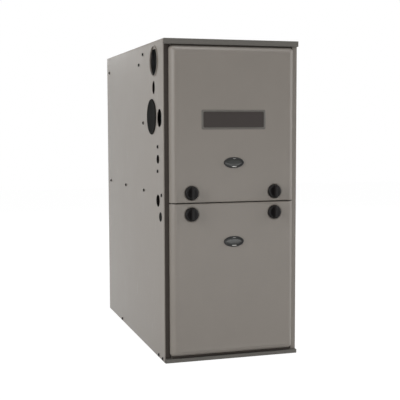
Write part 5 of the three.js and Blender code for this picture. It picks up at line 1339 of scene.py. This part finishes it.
def sight_glass(node):
    """An oval bezel with its lens set a little back, and a pale tab at its head and foot: painted highlight
    for the glints there.
    """
    body = body_named(node)
    front = span(node)[1][0]
    low, high = span(node)[2]
    middle = at(node).x
    bezel = lofted([oval(node, inset * MM, front + depth * MM) for inset, depth in BEZEL_FORM], "y")
    make_piece(f"{node}_bezel", bezel, "black", body, (node,))
    lens = lofted([oval(node, inset * MM, front + depth * MM) for inset, depth in LENS_FORM], "y")
    make_piece(f"{node}_lens", lens, "lens", body, ())
    # Pale tabs at the head and foot: painted highlight for the glints on the sight glass.
    depth = (front + 0.1 * MM, front + 1.6 * MM)
    for name, left, right, height in (("lower", 5, 7, low + 3.4 * MM), ("upper", 3, 5, high - 2.6 * MM)):
        xs = (middle - left * MM, middle + right * MM)
        clip = block(xs, depth, (height - GLINT_TAB, height + GLINT_TAB), 0.5 * MM)
        make_piece(f"{node}_{name}_clip", clip, "clip", body, ())


class FURNACE_OT_sight_glasses(bpy.types.Operator):
    """Make the two oval sight glasses"""

    bl_idname = "furnace.sight_glasses"
    bl_label = "Sight glasses"

    def execute(self, context):
        for node in ("upper_sight_glass", "lower_sight_glass"):
            sight_glass(node)
        return {"FINISHED"}


# Levels of the plate from its back: inset from the rim and depth, in millimetres.
PLATE_FORM = [(0, 1.5), (0.3, 1.2), (3.2, 0.1), (3.8, 0), (4.4, 0), (4.9, 0.2), (5.2, 0.6), (5.2, 0.7)]
PLATE_CORNER = 4 * MM


class FURNACE_OT_name_plate(bpy.types.Operator):
    """Make the bare name plate"""

    bl_idname = "furnace.name_plate"
    bl_label = "Name plate"

    def execute(self, context):
        (x0, x1), (y0, y1), (z0, z1) = span("name_plate")
        outline = rounded(x0, x1, z0, z1, PLATE_CORNER, 8)
        levels = [(0, y1)] + [(inset * MM, y0 + depth * MM) for inset, depth in PLATE_FORM]
        work = pillow(outline, "y", levels)
        piece = make_piece("name_plate_pressing", work, ["rail", "plate"], "upper_door_body", ("name_plate",))
        for polygon in piece.data.polygons:
            field = len(polygon.vertices) > 4 and polygon.center.y < y1 - 0.5 * MM
            polygon.material_index = int(field)
        return {"FINISHED"}


HEAD_GAP = 0.4 * MM  # between an inner panel and its screws' washers
VESTIBULE_SCREWS = 815 * MM  # their height


class FURNACE_OT_fasteners(bpy.types.Operator):
    """Put the sheet metal screws into the cabinet"""

    bl_idname = "furnace.fasteners"
    bl_label = "Fasteners"

    def execute(self, context):
        places = []
        for side, node in ((-1, "casing_left"), (1, "casing_right")):
            level = span(node)[0][0] if side < 0 else span(node)[0][1] - SUNK
            for y, z in SIDE_SCREWS + FOOT_SCREWS:
                places.append(((level, from_front(y), z * MM), (side, 0, 0)))
            for x, z in REAR_SCREWS:
                places.append(((side * x * MM, span(node)[1][1] - SUNK, z * MM), (0, 1, 0)))
        screws("cabinet_screws", places, "cabinet", "bolt")
        inner = []
        panel = span("vestibule_panel")[1][0] - HEAD_GAP
        for x in (-150, -75, 0, 75, 150):
            inner.append(((x * MM, panel, VESTIBULE_SCREWS), (0, -1, 0)))
        (x0, x1), (_, y1), (z0, _) = span("control_panel")
        for x in (x0 + 9 * MM, x1 - 9 * MM):
            for z in (z0 + 12 * MM, z0 + 60 * MM):
                inner.append(((x, y1 - SHEET - HEAD_GAP, z), (0, -1, 0)))
        screws("inner_screws", inner, "cabinet")
        return {"FINISHED"}


# ---- Burners and gas train


# An in-shot burner's outside: radius and distance from its mouth, in millimetres.
BURNER_FORM = [(17, 0), (15.4, 3), (13.2, 8), (11, 15), (10, 22), (11.2, 28), (13.2, 33), (14, 36), (14, 56)]
BURNER_FORM += [(15.5, 62), (17.6, 72), (19, 82), (19.8, 90)]
BURNER_WALL = 1.2 * MM


def burner(node):
    """An in-shot burner: bell mouth, throat, straight waist and flared flame end."""
    mouth = span(node)[1][0]
    outer = [(radius * MM, mouth + along * MM) for radius, along in BURNER_FORM]
    inner = [(radius - BURNER_WALL, along) for radius, along in outer][::-1]
    work = hollow_turned(outer + inner, "y", at(node))
    make_piece(f"{node}_venturi", work, "aluminised", "cabinet", (node,))


class FURNACE_OT_gas_train(bpy.types.Operator):
    """Make the burners, gas manifold, gas valve and flame controls"""

    bl_idname = "furnace.gas_train"
    bl_label = "Gas train"

    def execute(self, context):
        for node in ("burner_1", "burner_2", "burner_3"):
            burner(node)
        dressed("burner_box", "aluminised", 0.2)
        dressed("gas_manifold", "iron", 0.3, 50)
        dressed("gas_valve", "cast", 0.5)
        dressed("gas_valve_knob", "red", 0.3, 50)
        for node in ("igniter", "flame_sensor"):
            dressed(node, "ceramic", 0.2, 50)
        for node in ("rollout_switch", "limit_switch"):
            dressed(node, "black", 0.2, 40)
        dressed("rollout_reset_button", "red", 0.3, 50)
        return {"FINISHED"}


# ---- Heat exchanger


TUBE_REAR = 640  # depths of the tubes' return bends behind the casing's front, in millimetres
TUBE_FORE = 260
TUBE_BEND = 0.999 * 40 * MM  # just short of half the passes' distance
TUBE_WALL = 1.5 * MM


def primary_tube(node):
    """One tube of the heat exchanger: three passes joined by two return bends."""
    (x0, x1), (front, _), (z0, z1) = span(node)
    radius = (x1 - x0) / 2
    x = (x0 + x1) / 2
    top = z1 - radius
    bottom = z0 + radius
    middle = (top + bottom) / 2
    rear = from_front(TUBE_REAR)
    fore = from_front(TUBE_FORE)
    corners = [(x, front, top), (x, rear, top), (x, rear, middle), (x, fore, middle), (x, fore, bottom)]
    corners.append((x, span("coupling_box")[1][0] - SEAT, bottom))
    pipe(f"{node}_tube", corners, radius, TUBE_BEND, TUBE_WALL, "aluminised", node)


FIN_RIM = 6 * MM  # from the coil's side to its fins
FIN_START = 24 * MM
FIN_PITCH = 4.2 * MM
FIN = 0.5 * MM
COIL_ROWS = 2
COIL_COLUMNS = 8
COIL_TUBE = 6 * MM  # radius


def coil_fins():
    """The fins of the secondary coil in a fine row, with its end plate and two rows of tubes."""
    (x0, x1), (y0, y1), (z0, z1) = span("secondary_coil")
    first = y0 + FIN_START
    count = int((y1 - first) / FIN_PITCH)
    fin = block((x0 + FIN_RIM, x1 - FIN_RIM), (first, first + FIN), (z0 + FIN_RIM, z1 - FIN_RIM))
    values = {"Count": count, "Pitch": FIN_PITCH, "Finish": FINISH["stainless"]}
    grown("secondary_coil_fins", fin, tree(fin_tree), values, "cabinet", ("secondary_coil",))
    plate = block((x0, x1), (y0, y0 + 3 * MM), (z0, z1), 0.5 * MM)
    tubes = []
    for row in range(COIL_ROWS):
        shift = 0.25 * (row * 2 - 1)
        z = z0 + (z1 - z0) * (0.34 + 0.32 * row)
        for column in range(COIL_COLUMNS):
            x = x0 + FIN_RIM + (x1 - x0 - 2 * FIN_RIM) * (column + 0.5 + shift) / COIL_COLUMNS
            tubes.append(rod("y", Vector((x, 0, z)), y0 + 1 * MM, y1, COIL_TUBE, 24))
    make_piece("secondary_coil_tubes", joined(plate, *tubes), "stainless", "cabinet", ())


class FURNACE_OT_heat_exchanger(bpy.types.Operator):
    """Make the primary tubes, the secondary coil and its boxes"""

    bl_idname = "furnace.heat_exchanger"
    bl_label = "Heat exchanger"

    def execute(self, context):
        for node in ("primary_tube_1", "primary_tube_2", "primary_tube_3"):
            primary_tube(node)
        coil_fins()
        dressed("coupling_box", "stainless", 0.6)
        dressed("collector_box", "black", 0.4)
        return {"FINISHED"}


# ---- Venting


VENT_RADIUS = 30.15 * MM
VENT_WALL = 3.9 * MM
VENT_BEND = 34 * MM
COLLAR_RADIUS = 33.15 * MM  # of the inducer's outlet
COLLAR_DEPTH = 10 * MM


def vent_pipe():
    """The plastic pipe from the inducer's collar to the opening in the top."""
    (_, right), (fore, _), (_, top) = span("vent_pipe")
    housing = span("inducer_housing")
    x = housing[0][1] - COLLAR_RADIUS
    y = (housing[1][1] + from_front(100)) / 2
    z = housing[2][1] - COLLAR_DEPTH
    end_x, end_y = right - VENT_RADIUS, fore + VENT_RADIUS
    corners = [(x, y, z), (x, y, z + 38 * MM), (end_x, end_y, z + 80 * MM), (end_x, end_y, top)]
    pipe("vent_pipe_run", corners, VENT_RADIUS, VENT_BEND, VENT_WALL, "white", "vent_pipe")


class FURNACE_OT_venting(bpy.types.Operator):
    """Make the draft inducer, its wheel, the pipes, hoses, trap and pressure switch"""

    bl_idname = "furnace.venting"
    bl_label = "Venting"

    def execute(self, context):
        dressed("inducer_housing", "black", 0.5, 40)
        dressed("inducer_wheel", "aluminised", 0.1, 40)
        dressed("inducer_motor", "motor", 0.3, 50)
        vent_pipe()
        dressed("intake_pipe", "black", 0.3, 50)
        dressed("pressure_switch", "grey", 0.3, 50)
        dressed("condensate_trap", "grey", 0.5, 50)
        dressed("pressure_hose", "silicone", 0, 70)
        dressed("drain_hose", "rubber", 0, 70)
        return {"FINISHED"}


# ---- Blower


WHEEL_RADIUS = 120 * MM
RING_LAP = 1 * MM  # how far the end rings reach inside the blades
RING_RIM = 1.5 * MM  # and outside them
PLATE_SHEET = 1.4 * MM
PLATE_LAP = 4 * MM
PLATE_PLACE = -28 * MM  # where the centre plate and its hub stand along X
HUB_RADIUS = 16 * MM
HUB_HALF = 15 * MM
BORE = 6.7 * MM  # radius of the bores on the shaft
BLADE_SWEEP = 0.13  # radians from a blade's root to its tip
BLADE_STEPS = 6


def wheel_blade(inner, outer, low, high, sheet):
    """One forward-curved blade about the X axis."""
    stations = []
    for i in range(BLADE_STEPS + 1):
        share = i / BLADE_STEPS
        stations.append((inner + (outer - inner) * share, BLADE_SWEEP * share * share))
    front = [(r * math.cos(a), r * math.sin(a)) for r, a in stations]
    back = [(r * math.cos(a + sheet / r), r * math.sin(a + sheet / r)) for r, a in stations]
    return pulled(front + back[::-1], "x", low, high)


def washer(inner, outer, low, high, sides=48):
    """A flat ring about the X axis."""
    profile = [(inner, low), (outer, low), (outer, high), (inner, high)]
    return hollow_turned(profile, "x", Vector(), sides)


class FURNACE_OT_blower(bpy.types.Operator):
    """Make the circulating blower: housing, wheel, shaft, motor and mount"""

    bl_idname = "furnace.blower"
    bl_label = "Blower"

    def execute(self, context):
        sizes = context.scene.furnace_wheel
        x0, x1 = span("blower_wheel")[0]
        axis = at("blower_shaft")
        inner = WHEEL_RADIUS - sizes.blade_depth
        blade = working("blower_blade", wheel_blade(inner, WHEEL_RADIUS, x0, x1, sizes.blade_sheet))
        end_ring = (inner - RING_LAP, WHEEL_RADIUS + RING_RIM)
        seed = joined(
            washer(BORE, inner + PLATE_LAP, PLATE_PLACE, PLATE_PLACE + PLATE_SHEET, 84),
            washer(BORE, HUB_RADIUS, PLATE_PLACE - HUB_HALF, PLATE_PLACE + HUB_HALF),
            washer(*end_ring, x0, x0 + sizes.ring, 84),
            washer(*end_ring, x1 - sizes.ring, x1, 84),
        )
        values = {"Blade": blade, "Count": sizes.blades, "Finish": FINISH["zinc"]}
        node = ("blower_wheel",)
        ring = tree(ring_tree)
        wheel = grown("blower_wheel_blades", seed, ring, values, "blower_rotor", node)
        wheel.data.transform(Matrix.Translation((0, axis.y, axis.z)))
        bpy.data.objects.remove(blade)
        dressed("blower_shaft", "stainless", 0.3, 50)
        dressed("blower_housing", "zinc", 0, 40)
        self.motor(axis)
        dressed("motor_mount", "zinc", 0.2, 40)
        return {"FINISHED"}

    def motor(self, axis):
        """The motor's shell from the shaft's end: nose, stepped drum and closed back."""
        (x0, x1), (y0, y1), _ = span("blower_motor")
        radius = (y1 - y0) / 2
        profile = [
            (BORE, x0),
            (20 * MM, x0),
            (23 * MM, x0 + 1 * MM),
            (26 * MM, x0 + 5 * MM),
            (radius - 12 * MM, x0 + 8 * MM),
            (radius - 5 * MM, x0 + 10.5 * MM),
            (radius - 2 * MM, x0 + 16 * MM),
            (radius - 2 * MM, x0 + 50 * MM),
            (radius, x0 + 52 * MM),
            (radius, x1 - 8 * MM),
            (radius - 2.4 * MM, x1 - 3 * MM),
            (radius - 8 * MM, x1),
            (20 * MM, x1),
            (18 * MM, x1 - 2 * MM),
            (0, x1 - 2 * MM),
            (0, x0 + 20 * MM),
            (BORE, x0 + 20 * MM),
        ]
        work = turned(profile + profile[:1], "x", axis, 72)
        make_piece("blower_motor_shell", work, "motor", "cabinet", ("blower_motor",), 25)


# ---- Controls


class FURNACE_OT_controls(bpy.types.Operator):
    """Make the control panel, circuit board, transformer, door switch and junction box"""

    bl_idname = "furnace.controls"
    bl_label = "Controls"

    def execute(self, context):
        dressed("control_panel", "zinc", 0.2)
        dressed("control_board", "board", 0.2)
        dressed("transformer", "black", 0.5)
        dressed("door_switch", "black", 0.3)
        dressed("door_switch_plunger", "white", 0.3, 50)
        dressed("junction_box", "zinc", 0.4)
        return {"FINISHED"}


# ---- The stage

CAMERA_PLACE = (-0.7535, -2.5184, 0.6188)
CAMERA_YAW = 17.078
CAMERA_PITCH = -4.898
CAMERA_ROLL = 0.154
CAMERA_LENS = 78.8
FILL = 0.18  # how strongly the white studio lights the object
FLOOR_GLOW = 1.09
FLOOR_GLOW_SHARE = 0.88  # the rest of what is seen of the floor is lit, so that it takes the shadow
# Lamps: name, place, what they look at, width and height in metres, and watts.
LAMPS = (
    ("key", (-3.0, -1.25, 1.5), (0, 0, 0.4), (0.8, 2.6), 64),
    ("front", (0.3, -2.3, 0.14), (0, 0, 0.1), (1.6, 0.24), 6.5),
    ("right", (3.0, -1.1, 1.4), (0, 0, 0.4), (0.6, 2.4), 44),
    ("rear", (0.4, 3.0, 1.8), (0, 0, 0.4), (2.0, 1.6), 40),
    ("top", (0.2, -0.4, 3.2), (0, 0, 0.4), (1.6, 1.0), 24),
)


def camera():
    """The camera that the picture was taken with, as fitted to the cabinet's edges."""
    data = bpy.data.cameras.new("camera")
    data.lens = CAMERA_LENS
    data.sensor_width = 36
    data.clip_end = 50
    eye = bpy.data.objects.new("camera", data)
    bpy.context.scene.collection.objects.link(eye)
    eye.location = CAMERA_PLACE
    eye.rotation_mode = "XYZ"
    turn = Matrix.Rotation(math.radians(-CAMERA_YAW), 4, "Z")
    turn = turn @ Matrix.Rotation(math.radians(90 + CAMERA_PITCH), 4, "X")
    turn = turn @ Matrix.Rotation(math.radians(-CAMERA_ROLL), 4, "Z")
    eye.rotation_euler = turn.to_euler("XYZ")
    bpy.context.scene.camera = eye


def softbox(name, place, target, size, power):
    """A rectangular lamp that looks at a point."""
    data = bpy.data.lights.new(name, "AREA")
    data.shape = "RECTANGLE"
    data.size, data.size_y = size
    data.energy = power
    lamp = bpy.data.objects.new(name, data)
    bpy.context.scene.collection.objects.link(lamp)
    lamp.location = place
    lamp.rotation_mode = "QUATERNION"
    lamp.rotation_quaternion = (Vector(target) - Vector(place)).to_track_quat("-Z", "Y")


def seen_rays(tree_nodes, links):
    """1 for camera, mirror and glass rays, 0 for the rays that light the object."""
    path = tree_nodes.new("ShaderNodeLightPath")
    total = None
    for output in ("Is Camera Ray", "Is Glossy Ray", "Is Transmission Ray"):
        if total is None:
            total = path.outputs[output]
            continue
        made = tree_nodes.new("ShaderNodeMath")
        made.operation = "MAXIMUM"
        links.new(total, made.inputs[0])
        links.new(path.outputs[output], made.inputs[1])
        total = made.outputs[0]
    return total


def white_world():
    """A studio that is white to the camera and in mirrors, and lights the object only a little."""
    world = bpy.data.worlds.new("white studio")
    world.use_nodes = True
    bpy.context.scene.world = world
    nodes, links = world.node_tree.nodes, world.node_tree.links
    background = nodes["Background"]
    background.inputs["Color"].default_value = (1, 1, 1, 1)
    made = nodes.new("ShaderNodeMapRange")
    links.new(seen_rays(nodes, links), made.inputs["Value"])
    made.inputs["To Min"].default_value = FILL
    made.inputs["To Max"].default_value = 1.0
    links.new(made.outputs[0], background.inputs["Strength"])


def pale_floor():
    """A pale floor that shows white to the camera and keeps the object's shadow."""
    work = bmesh.new()
    bmesh.ops.create_grid(work, x_segments=1, y_segments=1, size=6)
    mesh = bpy.data.meshes.new("floor")
    work.to_mesh(mesh)
    work.free()
    floor = bpy.data.objects.new("floor", mesh)
    floor.location.z = -0.5 * MM
    bpy.context.scene.collection.objects.link(floor)
    recipe = Recipe("pale floor")
    grain = recipe.noise(4 * MM, 2)
    recipe.surface(recipe.mixed(grain, (0.93, 0.93, 0.93), (0.97, 0.97, 0.97)), 0.8)
    nodes, links = recipe.tree.nodes, recipe.tree.links
    glow = nodes.new("ShaderNodeEmission")
    glow.inputs["Strength"].default_value = FLOOR_GLOW
    both = nodes.new("ShaderNodeMixShader")
    share = nodes.new("ShaderNodeMath")
    share.operation = "MULTIPLY"
    links.new(seen_rays(nodes, links), share.inputs[0])
    share.inputs[1].default_value = FLOOR_GLOW_SHARE
    links.new(share.outputs[0], both.inputs[0])
    links.new(recipe.shader.outputs[0], both.inputs[1])
    links.new(glow.outputs[0], both.inputs[2])
    links.new(both.outputs[0], nodes["Material Output"].inputs["Surface"])
    mesh.materials.append(recipe.material)


class FURNACE_OT_stage(bpy.types.Operator):
    """Set the floor, the white studio, the lamps and the camera"""

    bl_idname = "furnace.stage"
    bl_label = "Stage"

    def execute(self, context):
        context.scene.view_settings.view_transform = "Standard"
        camera()
        white_world()
        pale_floor()
        for lamp in LAMPS:
            softbox(*lamp)
        return {"FINISHED"}


# ---- The add-on

SETTINGS = {
    "furnace_colours": FinishColours,
    "furnace_doors": DoorSizes,
    "furnace_knobs": KnobSizes,
    "furnace_wheel": WheelSizes,
    "furnace_screws": ScrewSizes,
}
OPERATORS = (
    FURNACE_OT_stage,
    FURNACE_OT_cabinet,
    FURNACE_OT_doors,
    FURNACE_OT_door_knobs,
    FURNACE_OT_sight_glasses,
    FURNACE_OT_name_plate,
    FURNACE_OT_fasteners,
    FURNACE_OT_gas_train,
    FURNACE_OT_heat_exchanger,
    FURNACE_OT_venting,
    FURNACE_OT_blower,
    FURNACE_OT_controls,
)


class FURNACE_PT_panel(bpy.types.Panel):
    """Lists the furnace's operators and sizes"""

    bl_idname = "FURNACE_PT_panel"
    bl_label = "Furnace"
    bl_space_type = "VIEW_3D"
    bl_region_type = "UI"
    bl_category = "Furnace"

    def draw(self, context):
        for operator in OPERATORS:
            self.layout.operator(operator.bl_idname)
        for setting in SETTINGS:
            group = getattr(context.scene, setting)
            box = self.layout.box()
            for name in group.__annotations__:
                box.prop(group, name)


def register():
    for kind in (*SETTINGS.values(), *OPERATORS, FURNACE_PT_panel):
        bpy.utils.register_class(kind)
    for name, kind in SETTINGS.items():
        setattr(bpy.types.Scene, name, PointerProperty(type=kind))


def unregister():
    for name in SETTINGS:
        delattr(bpy.types.Scene, name)
    for kind in (FURNACE_PT_panel, *reversed(OPERATORS), *reversed(tuple(SETTINGS.values()))):
        bpy.utils.unregister_class(kind)


def main():
    register()
    FINISH.update(finishes(bpy.context.scene.furnace_colours))
    for operator in OPERATORS:
        group, name = operator.bl_idname.split(".")
        getattr(getattr(bpy.ops, group), name)()


if __name__ == "__main__":
    main()
